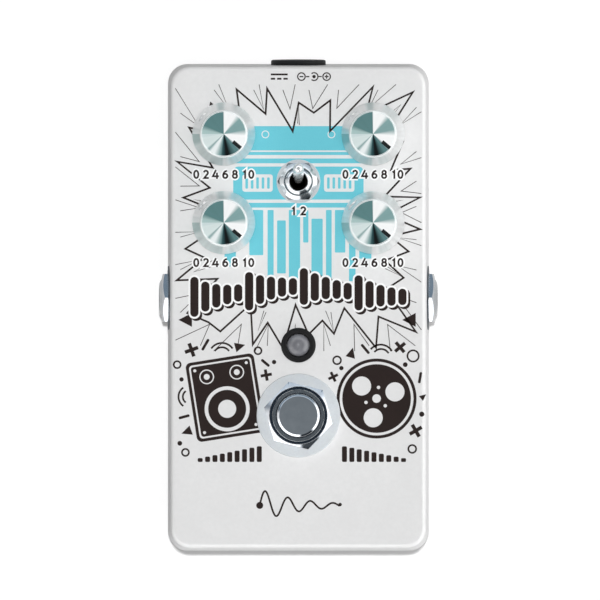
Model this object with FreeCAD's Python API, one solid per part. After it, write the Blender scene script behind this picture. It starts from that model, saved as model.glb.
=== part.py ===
import FreeCAD, Part
import math
import os
from FreeCAD import Placement, Rotation, Vector

# Tape echo pedal in millimetres: +X is the input side, +Y the power socket's side, +Z up.
# The origin is the centre of the enclosure's footprint, on the surface that the feet stand on.

# Die-cast enclosure
body_width = 60.0
body_length = 112.0
shell_height = 28.0
wall_draft_deg = 1.2
side_wall = 2.0
top_wall = 2.3
corner_radius = 4.5
top_edge_radius = 1.1
boss_radius = 3.5
boss_inset = 5.2

# Base plate, its countersunk screws and the feet
plate_thickness = 3.0
plate_edge_bevel = 0.5
lip_height = 1.2
lip_wall = 1.4
lip_gap = 0.2
boss_gap = 0.4
screw_radius = 1.5
screw_head_radius = 2.8
screw_head_height = 1.65
screw_length = 10.0
screw_head_sink = 0.1
pilot_depth = 12.0
recess_span = 3.0
recess_slot = 0.8
recess_depth = 1.1
foot_height = 2.0
foot_radius = 5.0
foot_taper = 0.4
foot_inset_x = 10.0
foot_inset_y = 14.5

# Clearances
thread_gap = 0.02
hole_gap = 0.15
turning_gap = 0.04
plunger_gap = 0.05
ball_gap = 0.03
rocker_gap = 0.08
slot_gap = 0.03
board_hole_gap = 0.12
seat_gap = 0.1

# Potentiometers, 9 mm size, and their places on the top face
control_side_inset = 12.83
rear_row_inset = 16.1
row_spacing = 20.4
pot_width = 9.8
pot_rear = 5.0
pot_front = 6.3
pot_depth = 6.8
pot_plate = 0.8
pot_bushing_radius = 3.5
pot_bushing_length = 5.0
pot_tab_width = 2.5
pot_tab_thickness = 0.5
pin_reach = 1.2
pot_cavity_depth = 2.6
wiper_reach = 4.0
wiper_width = 2.0
stop_radius = 3.4
shaft_radius = 3.0
shaft_length = 15.0
shaft_flat_depth = 0.5
shaft_flat_length = 9.0
turn_deg = 280.0
stop_gap_deg = 0.4
terminal_width = 0.9
terminal_thickness = 0.4
terminal_pitch = 2.5
terminal_reach = 0.9
terminal_drop = 4.2
pot_washer_radius = 6.0
pot_washer_thickness = 0.5
pot_nut_flats = 10.0
pot_nut_height = 2.0

# Knobs
knob_radius = 7.25
knob_shoulder_radius = 5.55
knob_face_radius = 5.25
knob_top = 14.0
knob_gap = 0.8
knob_bevel = 0.5
knob_roof = 1.0
knob_recess_radius = 6.2
knob_recess_top = 4.2
bore_gap = 0.03
pointer_deg = 130.0
pointer_start = 2.75
pointer_end = 5.1
pointer_width = 0.85
pointer_depth = 0.5

# Toggle switch
toggle_row_offset = 10.9
toggle_thread_radius = 3.175
toggle_bushing_length = 8.8
toggle_mouth_radius = 2.135
toggle_throat_radius = 1.5
toggle_throat_rise = 1.45
toggle_seat_rise = 0.95
toggle_pivot_depth = 4.6
toggle_ball_radius = 2.0
toggle_lever_radius = 1.02
toggle_lever_reach = 14.9
toggle_lever_tip_radius = 0.6
toggle_lever_tip_height = 0.45
toggle_stem_radius = 0.9
toggle_foot_radius = 1.1
toggle_foot_reach = 10.4
toggle_throw_deg = 25.0
toggle_skirt_radius = 2.6
toggle_case_width = 6.9
toggle_case_length = 13.2
toggle_case_height = 9.0
toggle_case_wall = 1.2
toggle_case_floor = 2.0
toggle_frame_plate = 0.6
toggle_strap_thickness = 0.4
toggle_strap_width = 9.0
toggle_rocker_span = 3.7
toggle_rocker_width = 2.4
toggle_rocker_thickness = 0.5
toggle_rocker_rise_deg = 9.0
toggle_rocker_height = 0.95
toggle_pin_wall_gap = 0.3
toggle_pin_width = 2.0
toggle_pin_thickness = 0.8
toggle_pin_drop = 4.0
toggle_washer_radius = 5.05
toggle_washer_thickness = 0.5
toggle_nut_flats = 8.4
toggle_nut_height = 2.0

# Indicator lamp and its bezel
lamp_jack_offset = 10.9
bezel_radius = 4.0
bezel_height = 1.7
bezel_edge = 0.5
bezel_body_radius = 3.2
bezel_body_length = 5.5
lens_radius = 2.6
lens_gap = 0.08
lens_dome = [(2.6, 1.1), (2.1, 1.65), (1.2, 2.0), (0.0, 2.1)]
lens_rim_radius = 3.0
lens_rim_height = 1.0
lead_pitch = 2.54
lead_size = 0.5

# Latching footswitch
footswitch_lamp_offset = 16.2
bushing_radius = 6.0
bushing_length = 12.5
bushing_stand = 5.8
bushing_edge = 0.3
plunger_radius = 4.95
plunger_stand = 5.5
plunger_bevel = 0.5
plunger_skirt = 5.0
stem_radius = 2.0
stem_gap = 0.06
clip_radius = 3.4
clip_height = 1.6
finger_radius = 1.4
finger_length = 3.3
spring_wire = 0.8
spring_radius = 3.5
spring_turns = 4.0
spring_steps_per_turn = 12
spring_sides = 6
spring_end_gap = 0.05
yoke_plate = 1.2
yoke_leg_thickness = 0.8
yoke_leg_width = 9.0
switch_width = 17.2
switch_height = 11.8
switch_wall = 1.6
switch_base = 2.5
rocker_half_length = 5.4
rocker_half_width = 6.2
rocker_thickness = 0.8
rocker_throw_deg = 18.0
rocker_height = 2.7
lug_pitch_x = 5.1
lug_pitch_y = 5.0
lug_width = 2.0
lug_thickness = 0.8
lug_plate_gap = 1.9
nylon_radius = 9.65
nylon_thickness = 1.2
dress_nut_flats = 14.0
dress_nut_height = 2.0
dress_nut_turn_deg = 107.0
collar_radius = 6.65
collar_height = 2.0
collar_bevel = 0.35
collar_bevel_height = 0.7
inner_nut_height = 2.0
lock_washer_radius = 8.4
lock_washer_thickness = 1.0
lock_washer_teeth = 10
lock_tooth_depth = 0.9

# Jacks for quarter-inch plugs
jack_row_offset = 17.3
jack_z = 17.5
jack_thread_radius = 4.5
jack_bore_radius = 3.25
jack_flange_radius = 5.6
jack_flange_thickness = 1.2
jack_stand = 2.25
jack_width = 15.5
jack_height = 12.6
jack_length = 21.0
jack_wall = 1.6
jack_front = 3.0
jack_washer_radius = 7.35
jack_washer_thickness = 0.3
jack_nut_flats = 11.0
jack_nut_height = 2.0
leaf_thickness = 0.4
leaf_width = 3.6
leaf_bump = 2.8
leaf_rest = 4.6
leg_width = 2.4
leg_drop = 2.2

# Power socket for a 5.5 by 2.1 mm plug
power_x = 0.0
power_z = 14.5
power_flange_radius = 6.3
power_flange_thickness = 1.15
power_thread_radius = 5.4
power_bore_radius = 2.95
power_bore_depth = 10.0
power_body_length = 12.0
power_pin_radius = 1.05
power_pin_recess = 1.3
power_nut_flats = 14.0
power_nut_height = 2.4
power_lug_width = 2.2
power_lug_offset = 3.4
power_lug_length = 4.8
power_leaf_width = 1.6

# Circuit boards and what is soldered to them
board_thickness = 1.6
board_corner = 1.2
board_side_gap = 1.6
board_jack_gap = 1.25
board_boss_gap = 0.5
board_window_gap = 0.5
switch_board_width = 22.0
switch_board_before = 16.1
switch_board_behind = 18.3
switch_board_tongue = 4.8
switch_board_tongue_width = 12.0
header_side_gap = 1.54
header_wall = 0.8
header_depth = 4.6
main_header_inset = 5.0
main_header_height = 6.0
switch_header_offset = 6.8
switch_header_height = 3.8
ribbon_side_gap = 1.4
ribbon_thickness = 0.9
ribbon_bend = 4.0
wire_radius = 0.6
wire_bend = 2.6
jack_wire_inset = 3.4
power_wire_gap = 0.9
delay_chip_length = 10.3
delay_chip_width = 7.5
delay_chip_height = 2.4
amplifier_length = 4.9
amplifier_width = 3.9
amplifier_height = 1.6
chip_pitch = 1.27
chip_leg_width = 0.42
chip_leg_reach = 1.1
chip_leg_thickness = 0.25
chip_window_gap = 1.9
chip_row_offset = 13.5
supply_chip_x = 4.2
supply_chip_offset = 0.1
can_radius = 2.5
can_height = 7.0
can_edge_gap = 0.45
can_x = 9.6
can_pitch = 7.57
film_length = 7.2
film_thickness = 2.5
film_height = 6.5
film_edge_gap = 0.75
film_pitch = 2.9
film_row_offset = 17.5
resistor_width = 1.6
resistor_length = 3.2
resistor_height = 0.6
resistor_row_offset = 6.5
resistor_rear_offset = 3.1
resistor_x = 7.0
resistor_pitch = 2.6

# Places along the box, which all follow from its rear end
rear_row_y = body_length / 2 - rear_row_inset
front_row_y = rear_row_y - row_spacing
toggle_y = rear_row_y - toggle_row_offset
jack_y = front_row_y - jack_row_offset
lamp_y = jack_y - lamp_jack_offset
footswitch_y = lamp_y - footswitch_lamp_offset
main_board_front = jack_y + jack_width / 2 + board_jack_gap
main_board_rear = body_length / 2 - boss_inset - boss_radius - board_boss_gap
main_header_y = main_board_front + main_header_inset
switch_header_y = jack_y - switch_header_offset
switch_board_front = footswitch_y - switch_board_before
switch_board_rear = footswitch_y + switch_board_behind
jack_wire_y = main_board_front + jack_wire_inset
power_wire_y = toggle_y + toggle_case_length / 2 + board_window_gap + power_wire_gap

# Heights that follow from the stack
rim_z = foot_height + plate_thickness
panel_z = rim_z + shell_height
under_z = panel_z - top_wall
main_board_top = under_z - pot_depth
main_board_under = main_board_top - board_thickness
frame_z = panel_z + bushing_stand - bushing_length
case_top_z = frame_z - yoke_plate
case_bottom_z = case_top_z - switch_height
switch_board_top = case_bottom_z - switch_base - seat_gap
switch_board_under = switch_board_top - board_thickness

# Walls that carry the jacks and the power socket
RIGHT = Vector(1, 0, 0)
LEFT = Vector(-1, 0, 0)
REAR = Vector(0, 1, 0)
UP = Vector(0, 0, 1)

draft = math.radians(wall_draft_deg)
wall_slant = side_wall * math.cos(draft)

# Widths that follow from what stands on either side
jack_lean = (jack_z - rim_z) * math.tan(draft)
header_width = body_width - 2 * (jack_lean + wall_slant + jack_length + header_side_gap)
ribbon_width = header_width - 2 * ribbon_side_gap
board_lean = (main_board_top - rim_z) * math.tan(draft)
main_board_width = body_width - 2 * (side_wall + board_lean + board_side_gap)
board_window_width = toggle_case_width + 2 * (toggle_strap_thickness + board_window_gap)
toggle_pin_pitch = (toggle_case_length / 2 - toggle_case_wall - toggle_pin_thickness / 2
                    - toggle_pin_wall_gap)


# General shapes
def block(width, length, bottom, top, x=0.0, y=0.0):
    """Box centred on a point of the plan."""
    corner = Vector(x - width / 2, y - length / 2, bottom)
    return Part.makeBox(width, length, top - bottom, corner)


def disc(radius, bottom, top):
    return Part.makeCylinder(radius, top - bottom, Vector(0, 0, bottom))


def ring(outer, inner, bottom, top):
    return disc(outer, bottom, top).cut(disc(inner, bottom, top))


def turned(outline):
    """Solid turned about Z from an outline of (radius, height) points."""
    points = [Vector(radius, 0, height) for radius, height in outline]
    face = Part.Face(Part.makePolygon(points + points[:1]))
    return face.revolve(Vector(), UP, 360)


def sector(outer, inner, bottom, top, middle_deg, width_deg):
    """Slice of a ring about Z."""
    slice_solid = Part.makeCylinder(outer, top - bottom, Vector(0, 0, bottom), UP, width_deg)
    slice_solid = slice_solid.cut(disc(inner, bottom, top))
    slice_solid.rotate(Vector(), UP, middle_deg - width_deg / 2)
    return slice_solid


def hexagon(flats, height, corner_deg=0.0):
    """Closed hexagonal outline with one corner at the given angle."""
    reach = flats / 2 / math.cos(math.radians(30))
    corners = []
    for step in range(6):
        angle = math.radians(corner_deg + 60 * step)
        corners.append(Vector(reach * math.cos(angle), reach * math.sin(angle), height))
    return Part.makePolygon(corners + corners[:1])


def plain_nut(flats, bore, bottom, top, corner_deg=0.0):
    prism = Part.Face(hexagon(flats, bottom, corner_deg)).extrude(UP * (top - bottom))
    return prism.cut(disc(bore, bottom, top))


def crowned_nut(flats, bore, bottom, top, corner_deg=0.0):
    """Hexagonal nut whose upper corners are turned down to a crown."""
    reach = flats / 2 / math.cos(math.radians(30))
    crown = reach - flats / 2 + 0.15
    drop = crown * math.tan(math.radians(30))
    blank = turned([(0, bottom), (reach, bottom), (reach, top - drop),
                    (reach - crown, top), (0, top)])
    return plain_nut(flats, bore, bottom, top, corner_deg).common(blank)


def edges_at(shape, height):
    """Edges that lie at one height."""
    return [edge for edge in shape.Edges
            if all(abs(vertex.Z - height) < 1e-4 for vertex in edge.Vertexes)]


def upright_edges(shape):
    """Edges that climb from the bottom of a block to its top."""
    box = shape.BoundBox
    return [edge for edge in shape.Edges if edge.BoundBox.ZLength > 0.9 * box.ZLength]


def rounded_block(width, length, bottom, top, radius, x=0.0, y=0.0):
    solid = block(width, length, bottom, top, x, y)
    return solid.makeFillet(radius, upright_edges(solid))


def drafted_block(width, length, bottom, height, radius):
    """Rounded block whose four walls lean in by the casting draft."""
    lean = height * math.tan(draft)
    half_x = width / 2
    half_y = length / 2
    solid = Part.makeWedge(-half_x, 0, -half_y, -half_y + lean, -half_x + lean,
                           half_x, height, half_y, half_y - lean, half_x - lean)
    solid.rotate(Vector(), Vector(1, 0, 0), 90)
    solid = solid.makeFillet(radius, upright_edges(solid))
    return solid.translated(UP * bottom)


def strip(outline, width, x=0.0):
    """Bent strip: an outline of (Y, Z) points, as wide as given about one X."""
    points = [Vector(x - width / 2, y, z) for y, z in outline]
    return Part.Face(Part.makePolygon(points + points[:1])).extrude(Vector(width, 0, 0))


def bent_wire(start, corner, end, radius, bend):
    """Six-sided wire along two straight runs, with the corner between them cut off."""
    entry = corner + (start - corner).normalize() * bend
    leave = corner + (end - corner).normalize() * bend
    section = hexagon(2 * radius, 0)
    section.Placement = Placement(start, Rotation(UP, corner - start))
    path = Part.makePolygon([start, entry, leave, end])
    return path.makePipeShell([section], True, False, 1)


def group(solids):
    """Like pieces kept as separate solids of one node."""
    return Part.makeCompound(solids)


def each_at(shape, places):
    return [shape.translated(place) for place in places]


def joined(shape, others):
    """One solid from a piece and what is cast or riveted to it."""
    return shape.multiFuse(others).removeSplitter()


def wall_frame(side, along, height):
    """Place on an outer wall: local Z leaves the wall and local Y climbs it."""
    normal = side * math.cos(draft) + UP * math.sin(draft)
    climb = UP * math.cos(draft) - side * math.sin(draft)
    half = body_width / 2 if side.y == 0 else body_length / 2
    lean = (height - rim_z) * math.tan(draft)
    sideways = Vector(side.y, abs(side.x), 0)
    point = side * (half - lean) + sideways * along + UP * height
    return Placement(point, Rotation(climb.cross(normal), climb, normal, "ZXY"))


def on_wall(shape, place):
    moved = shape.copy()
    moved.Placement = place.multiply(moved.Placement)
    return moved


# Places that several pieces share
control_x = body_width / 2 - control_side_inset
control_places = {
    "repeats": Vector(-control_x, rear_row_y, panel_z),
    "time": Vector(control_x, rear_row_y, panel_z),
    "blend": Vector(-control_x, front_row_y, panel_z),
    "level": Vector(control_x, front_row_y, panel_z),
}
toggle_place = Vector(0, toggle_y, panel_z)
lamp_place = Vector(0, lamp_y, panel_z)
footswitch_place = Vector(0, footswitch_y, panel_z)
input_place = wall_frame(RIGHT, jack_y, jack_z)
output_place = wall_frame(LEFT, jack_y, jack_z)
jack_places = [input_place, output_place]
power_place = wall_frame(REAR, power_x, power_z)
screw_places = [Vector(x * (body_width / 2 - boss_inset), y * (body_length / 2 - boss_inset), 0)
                for x in (-1, 1) for y in (-1, 1)]
foot_places = [Vector(x * (body_width / 2 - foot_inset_x), y * (body_length / 2 - foot_inset_y), 0)
               for x in (-1, 1) for y in (-1, 1)]


# Enclosure
def make_enclosure_shell():
    """Die-cast box, open below, with drafted walls, corner bosses and panel holes."""
    outside = drafted_block(body_width, body_length, rim_z, shell_height, corner_radius)
    outside = outside.makeFillet(top_edge_radius, edges_at(outside, panel_z))
    cavity = drafted_block(body_width - 2 * side_wall, body_length - 2 * side_wall,
                           rim_z, shell_height - top_wall, corner_radius - side_wall)
    bosses = each_at(disc(boss_radius, rim_z, panel_z - top_wall / 2), screw_places)
    shell = outside.cut(cavity).multiFuse(bosses)
    pilots = each_at(disc(screw_radius + thread_gap, rim_z, rim_z + pilot_depth), screw_places)
    panel_hole = {
        pot_bushing_radius: list(control_places.values()),
        toggle_thread_radius: [toggle_place],
        bezel_body_radius: [lamp_place],
        bushing_radius: [footswitch_place],
    }
    holes = []
    for radius, places in panel_hole.items():
        drill = disc(radius + hole_gap, -2 * top_wall, top_wall)
        holes += each_at(drill, places)
    jack_drill = disc(jack_thread_radius + hole_gap, -2 * side_wall, side_wall)
    holes += [on_wall(jack_drill, place) for place in jack_places]
    power_drill = disc(power_thread_radius + hole_gap, -2 * side_wall, side_wall)
    holes.append(on_wall(power_drill, power_place))
    return shell.cut(group(pilots + holes)).removeSplitter()


def make_base_plate():
    """Flat plate that closes the box, with a lip that locates it inside the walls."""
    plate = rounded_block(body_width, body_length, foot_height, rim_z, corner_radius)
    plate = plate.makeChamfer(plate_edge_bevel, edges_at(plate, foot_height))
    inset = side_wall + lip_gap
    lip_top = rim_z + lip_height
    lip = rounded_block(body_width - 2 * inset, body_length - 2 * inset, rim_z, lip_top,
                        corner_radius - inset)
    hollow = block(body_width - 2 * (inset + lip_wall), body_length - 2 * (inset + lip_wall),
                   rim_z, lip_top)
    lip = lip.cut(hollow)
    lip = lip.cut(group(each_at(disc(boss_radius + boss_gap, rim_z, lip_top), screw_places)))
    shank = screw_radius + hole_gap
    head = screw_head_radius + hole_gap
    countersink = turned([(0, foot_height), (head, foot_height),
                          (shank, foot_height + screw_head_height), (shank, rim_z), (0, rim_z)])
    plate = plate.fuse(lip).removeSplitter()
    return plate.cut(group(each_at(countersink, screw_places)))


def make_base_screws():
    """Countersunk machine screws with a cross recess."""
    bottom = foot_height + screw_head_sink
    top = bottom + screw_length
    screw = turned([(0, bottom), (screw_head_radius, bottom),
                    (screw_radius, bottom + screw_head_height), (screw_radius, top), (0, top)])
    for width, length in ((recess_span, recess_slot), (recess_slot, recess_span)):
        screw = screw.cut(block(width, length, bottom, bottom + recess_depth))
    return group(each_at(screw, screw_places))


def make_rubber_feet():
    """Stick-on feet that taper downwards."""
    foot = turned([(0, 0), (foot_radius - foot_taper, 0), (foot_radius, foot_height),
                   (0, foot_height)])
    return group(each_at(foot, foot_places))


# Potentiometers, built about the shaft with the panel's top face at Z = 0
pot_top = -top_wall - pot_plate
pot_bottom = -top_wall - pot_depth
pot_chamber_floor = pot_top - pot_cavity_depth
pot_middle = (pot_rear - pot_front) / 2
pot_length = pot_rear + pot_front


def make_pot_brackets():
    """Threaded bushing on a stamped plate, with two tabs that grip the case and the board."""
    plate = block(pot_width, pot_length, pot_top, -top_wall, 0, pot_middle)
    sleeve = disc(pot_bushing_radius, pot_top, pot_bushing_length - top_wall)
    tabs = []
    for side in (-1, 1):
        x = side * (pot_width + pot_tab_thickness) / 2
        tabs.append(block(pot_tab_thickness, pot_tab_width,
                          pot_bottom - board_thickness - pin_reach, -top_wall, x))
    bracket = joined(plate, [sleeve] + tabs)
    bracket = bracket.cut(disc(shaft_radius + turning_gap, pot_top, pot_bushing_length))
    return group(each_at(bracket, control_places.values()))


def make_pot_cases():
    """Moulded case with the round track chamber and the lug that stops the wiper."""
    case = block(pot_width, pot_length, pot_bottom, pot_top, 0, pot_middle)
    case = case.makeChamfer(0.6, upright_edges(case))
    chamber_radius = wiper_reach + 3 * seat_gap
    case = case.cut(disc(chamber_radius, pot_chamber_floor, pot_top))
    key_deg = math.degrees(math.asin(wiper_width / 2 / stop_radius))
    stop_deg = 360 - turn_deg - 2 * (key_deg + stop_gap_deg)
    stop = sector(chamber_radius + seat_gap, stop_radius, pot_chamber_floor, pot_top, -90, stop_deg)
    return group(each_at(case.fuse(stop).removeSplitter(), control_places.values()))


def make_pot_terminals():
    """Three bent legs at the front of each case, down through the board."""
    face = -pot_front
    outer = face - terminal_reach
    top = pot_bottom + terminal_drop
    low = pot_bottom - board_thickness - pin_reach
    outline = [(face, top), (outer, top), (outer, low), (outer + terminal_thickness, low),
               (outer + terminal_thickness, top - terminal_thickness),
               (face, top - terminal_thickness)]
    legs = [strip(outline, terminal_width, step * terminal_pitch) for step in (-1, 0, 1)]
    return group([leg.translated(place) for place in control_places.values() for leg in legs])


def make_pot_shaft():
    """Round shaft with a flat for the knob's screw, and the wiper arm that meets the stop."""
    bottom = pot_chamber_floor + seat_gap
    top = shaft_length - top_wall
    shaft = disc(shaft_radius, bottom, top)
    flat_face = shaft_radius - shaft_flat_depth
    flat = block(2 * shaft_radius, shaft_radius, top - shaft_flat_length, top,
                 0, -flat_face - shaft_radius / 2)
    arm = block(wiper_width, wiper_reach - 0.05, bottom, pot_top - seat_gap, 0, wiper_reach / 2)
    return joined(shaft.cut(flat), [arm])


def make_pot_nuts():
    """Hexagonal nuts, each in one piece with the washer under it."""
    bore = pot_bushing_radius + thread_gap
    nut = plain_nut(pot_nut_flats, bore, 0, pot_washer_thickness + pot_nut_height)
    washer = ring(pot_washer_radius, bore, 0, pot_washer_thickness)
    return group(each_at(joined(nut, [washer]), control_places.values()))


# Knobs, built about the shaft with the pointer towards +Y
def make_knob():
    """Turned knob: tapered side, flat face with an engraved pointer, hollow over the nut."""
    bore_top = knob_top - knob_roof
    bore = shaft_radius + bore_gap
    knob = turned([(knob_recess_radius, knob_gap), (knob_radius, knob_gap),
                   (knob_shoulder_radius, knob_top - knob_bevel),
                   (knob_face_radius, knob_top), (0, knob_top), (0, bore_top),
                   (bore, bore_top), (bore, knob_recess_top),
                   (knob_recess_radius, knob_recess_top)])
    slot = block(pointer_width, pointer_end - pointer_start, knob_top - pointer_depth, knob_top,
                 0, (pointer_start + pointer_end) / 2)
    return knob.cut(slot)


def at_control(shape, name):
    """Turns a piece to where the knob points in use and sets it on its shaft's place."""
    turned_shape = shape.copy()
    turned_shape.rotate(Vector(), UP, -pointer_deg)
    return turned_shape.translated(control_places[name])


# Toggle switch, built upright about its bushing with the panel's top face at Z = 0
toggle_top = toggle_bushing_length - top_wall
toggle_pivot_z = toggle_top - toggle_pivot_depth
toggle_case_top = -top_wall - toggle_frame_plate
toggle_case_bottom = toggle_case_top - toggle_case_height
toggle_floor = toggle_case_bottom + toggle_case_floor
toggle_rocker_z = toggle_floor + toggle_rocker_height


def make_toggle_bushing():
    """Threaded bushing: flared mouth, conical seat over the lever's ball, flared skirt."""
    seat = toggle_ball_radius + ball_gap
    edge = 0.25
    bushing = turned([
        (toggle_skirt_radius, toggle_case_top), (toggle_thread_radius, toggle_case_top),
        (toggle_thread_radius, toggle_top - edge), (toggle_thread_radius - edge, toggle_top),
        (toggle_mouth_radius, toggle_top),
        (toggle_throat_radius, toggle_pivot_z + toggle_throat_rise),
        (seat, toggle_pivot_z + toggle_seat_rise), (seat, toggle_pivot_z - toggle_ball_radius)])
    return bushing.translated(toggle_place)


def make_toggle_frame():
    """Steel frame staked under the bushing, with a strap down each side of the case."""
    plate = block(toggle_case_width, toggle_case_length, toggle_case_top, -top_wall)
    straps = []
    for side in (-1, 1):
        x = side * (toggle_case_width + toggle_strap_thickness) / 2
        straps.append(block(toggle_strap_thickness, toggle_strap_width,
                            toggle_case_bottom, -top_wall, x))
    frame = joined(plate, straps)
    hole = disc(toggle_thread_radius + thread_gap, toggle_case_top, -top_wall)
    return frame.cut(hole).translated(toggle_place)


def make_toggle_case():
    """Moulded case with a slot for each terminal in its floor."""
    case = block(toggle_case_width, toggle_case_length, toggle_case_bottom, toggle_case_top)
    room = block(toggle_case_width - 2 * toggle_case_wall, toggle_case_length - 2 * toggle_case_wall,
                 toggle_floor, toggle_case_top)
    slots = [block(toggle_pin_width + 2 * slot_gap, toggle_pin_thickness + 2 * slot_gap,
                   toggle_case_bottom, toggle_floor, 0, step * toggle_pin_pitch)
             for step in (-1, 0, 1)]
    return case.cut(group([room] + slots)).translated(toggle_place)


def make_toggle_terminals():
    """Outer terminals end in contact pads, and the middle one in the rocker's fulcrum."""
    rocker_under = toggle_rocker_z - toggle_rocker_thickness / 2
    pad_top = rocker_under - rocker_gap
    low = toggle_case_bottom - toggle_pin_drop
    half = toggle_pin_thickness / 2
    pins = []
    for step in (-1, 1):
        y = step * toggle_pin_pitch
        inner = step * (toggle_rocker_span * 0.6)
        outline = [(y + step * half, low), (y + step * half, pad_top), (inner, pad_top),
                   (inner, toggle_floor), (y - step * half, toggle_floor), (y - step * half, low)]
        pins.append(strip(outline, toggle_pin_width))
    fulcrum = [(-half, low), (half, low), (half, toggle_floor), (half / 4, pad_top),
               (-half / 4, pad_top), (-half, toggle_floor)]
    pins.append(strip(fulcrum, toggle_pin_width))
    return group(each_at(group(pins), [toggle_place]))


def make_toggle_lever():
    """Turned lever with its pivot ball and contact foot, leaning to the rear position."""
    ball = [(toggle_ball_radius * math.cos(angle), toggle_ball_radius * math.sin(angle))
            for angle in (math.radians(step * 30 - 45) for step in range(4))]
    neck = math.sqrt(toggle_ball_radius ** 2 - toggle_lever_radius ** 2)
    low_neck = -math.sqrt(toggle_ball_radius ** 2 - toggle_stem_radius ** 2)
    foot = -toggle_foot_reach
    lever = turned([(0, foot), (toggle_foot_radius / 2, foot),
                    (toggle_foot_radius, foot + toggle_foot_radius / 2),
                    (toggle_foot_radius, foot + 1.5 * toggle_foot_radius),
                    (toggle_stem_radius, foot + 2 * toggle_foot_radius),
                    (toggle_stem_radius, low_neck)] + ball + [
                    (toggle_lever_radius, neck),
                    (toggle_lever_radius, toggle_lever_reach - toggle_lever_tip_height),
                    (toggle_lever_tip_radius, toggle_lever_reach), (0, toggle_lever_reach)])
    lever.rotate(Vector(), Vector(1, 0, 0), -toggle_throw_deg / 2)
    return lever.translated(toggle_place + UP * toggle_pivot_z)


def make_toggle_rocker():
    """Contact rocker, a shallow V that tips towards the side away from the lever."""
    half = toggle_rocker_thickness / 2
    rise = toggle_rocker_span * math.tan(math.radians(toggle_rocker_rise_deg))
    outline = [(0, -half), (toggle_rocker_span, rise - half), (toggle_rocker_span, rise + half),
               (0, half), (-toggle_rocker_span, rise + half), (-toggle_rocker_span, rise - half)]
    rocker = strip(outline, toggle_rocker_width)
    rocker.rotate(Vector(), Vector(1, 0, 0), toggle_rocker_rise_deg)
    return rocker.translated(toggle_place + UP * toggle_rocker_z)


def make_toggle_washer():
    washer = ring(toggle_washer_radius, toggle_thread_radius + hole_gap, 0, toggle_washer_thickness)
    return washer.translated(toggle_place)


def make_toggle_nut():
    bottom = toggle_washer_thickness
    nut = crowned_nut(toggle_nut_flats, toggle_thread_radius + thread_gap,
                      bottom, bottom + toggle_nut_height)
    return nut.translated(toggle_place)


# Indicator lamp, built about its axis with the panel's top face at Z = 0
def make_lamp_bezel():
    """Moulded bezel whose flange rests on the panel."""
    bore = lens_radius + lens_gap
    bezel = turned([(bore, -bezel_body_length), (bezel_body_radius, -bezel_body_length),
                    (bezel_body_radius, 0), (bezel_radius, 0),
                    (bezel_radius, bezel_height - bezel_edge),
                    (bezel_radius - bezel_edge, bezel_height), (bore, bezel_height)])
    return bezel.translated(lamp_place)


def make_lamp_lens():
    """Cast lens with a domed front and the rim that stops it behind the bezel."""
    rim_top = -bezel_body_length
    rim_bottom = rim_top - lens_rim_height
    lens = turned([(0, rim_bottom), (lens_rim_radius, rim_bottom), (lens_rim_radius, rim_top),
                   (lens_radius, rim_top)] + lens_dome)
    return lens.translated(lamp_place)


def make_lamp_leads():
    """Two square leads from the lens down through the switch board."""
    top = panel_z - bezel_body_length - lens_rim_height
    low = switch_board_under - pin_reach
    return group([block(lead_size, lead_size, low, top, side * lead_pitch / 2, lamp_y)
                  for side in (-1, 1)])


# Footswitch, built about its plunger with the panel's top face at Z = 0
frame_top = bushing_stand - bushing_length
frame_bottom = frame_top - yoke_plate
case_bottom = frame_bottom - switch_height
base_bottom = case_bottom - switch_base
plunger_top = bushing_stand + plunger_stand
plunger_bottom = bushing_stand - plunger_skirt
rocker_z = case_bottom + rocker_height


def make_footswitch_button():
    """Turned plunger: head in the bushing, stem through the yoke, clip and nylon finger."""
    clip_top = frame_bottom - seat_gap
    clip_bottom = clip_top - clip_height
    plunger = turned([
        (0, plunger_top), (plunger_radius - plunger_bevel, plunger_top),
        (plunger_radius, plunger_top - plunger_bevel), (plunger_radius, plunger_bottom),
        (stem_radius, plunger_bottom), (stem_radius, clip_top), (clip_radius, clip_top),
        (clip_radius, clip_bottom), (finger_radius, clip_bottom),
        (finger_radius, clip_bottom - finger_length), (0, clip_bottom - finger_length)])
    return plunger.translated(footswitch_place)


def make_footswitch_bushing():
    """Threaded bushing, with the bore that guides the plunger's head."""
    bore = plunger_radius + plunger_gap
    sleeve = turned([
        (bore, frame_top), (bushing_radius, frame_top),
        (bushing_radius, bushing_stand - bushing_edge),
        (bushing_radius - bushing_edge, bushing_stand), (bore, bushing_stand)])
    return sleeve.translated(footswitch_place)


def make_footswitch_yoke():
    """Steel yoke under the bushing, with two legs crimped round the case."""
    plate = block(switch_width, switch_width, frame_bottom, frame_top)
    plate = plate.cut(disc(stem_radius + stem_gap, frame_bottom, frame_top))
    legs = []
    for side in (-1, 1):
        x = side * (switch_width + yoke_leg_thickness) / 2
        legs.append(block(yoke_leg_thickness, yoke_leg_width, base_bottom, frame_top, x))
    return joined(plate, legs).translated(footswitch_place)


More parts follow.
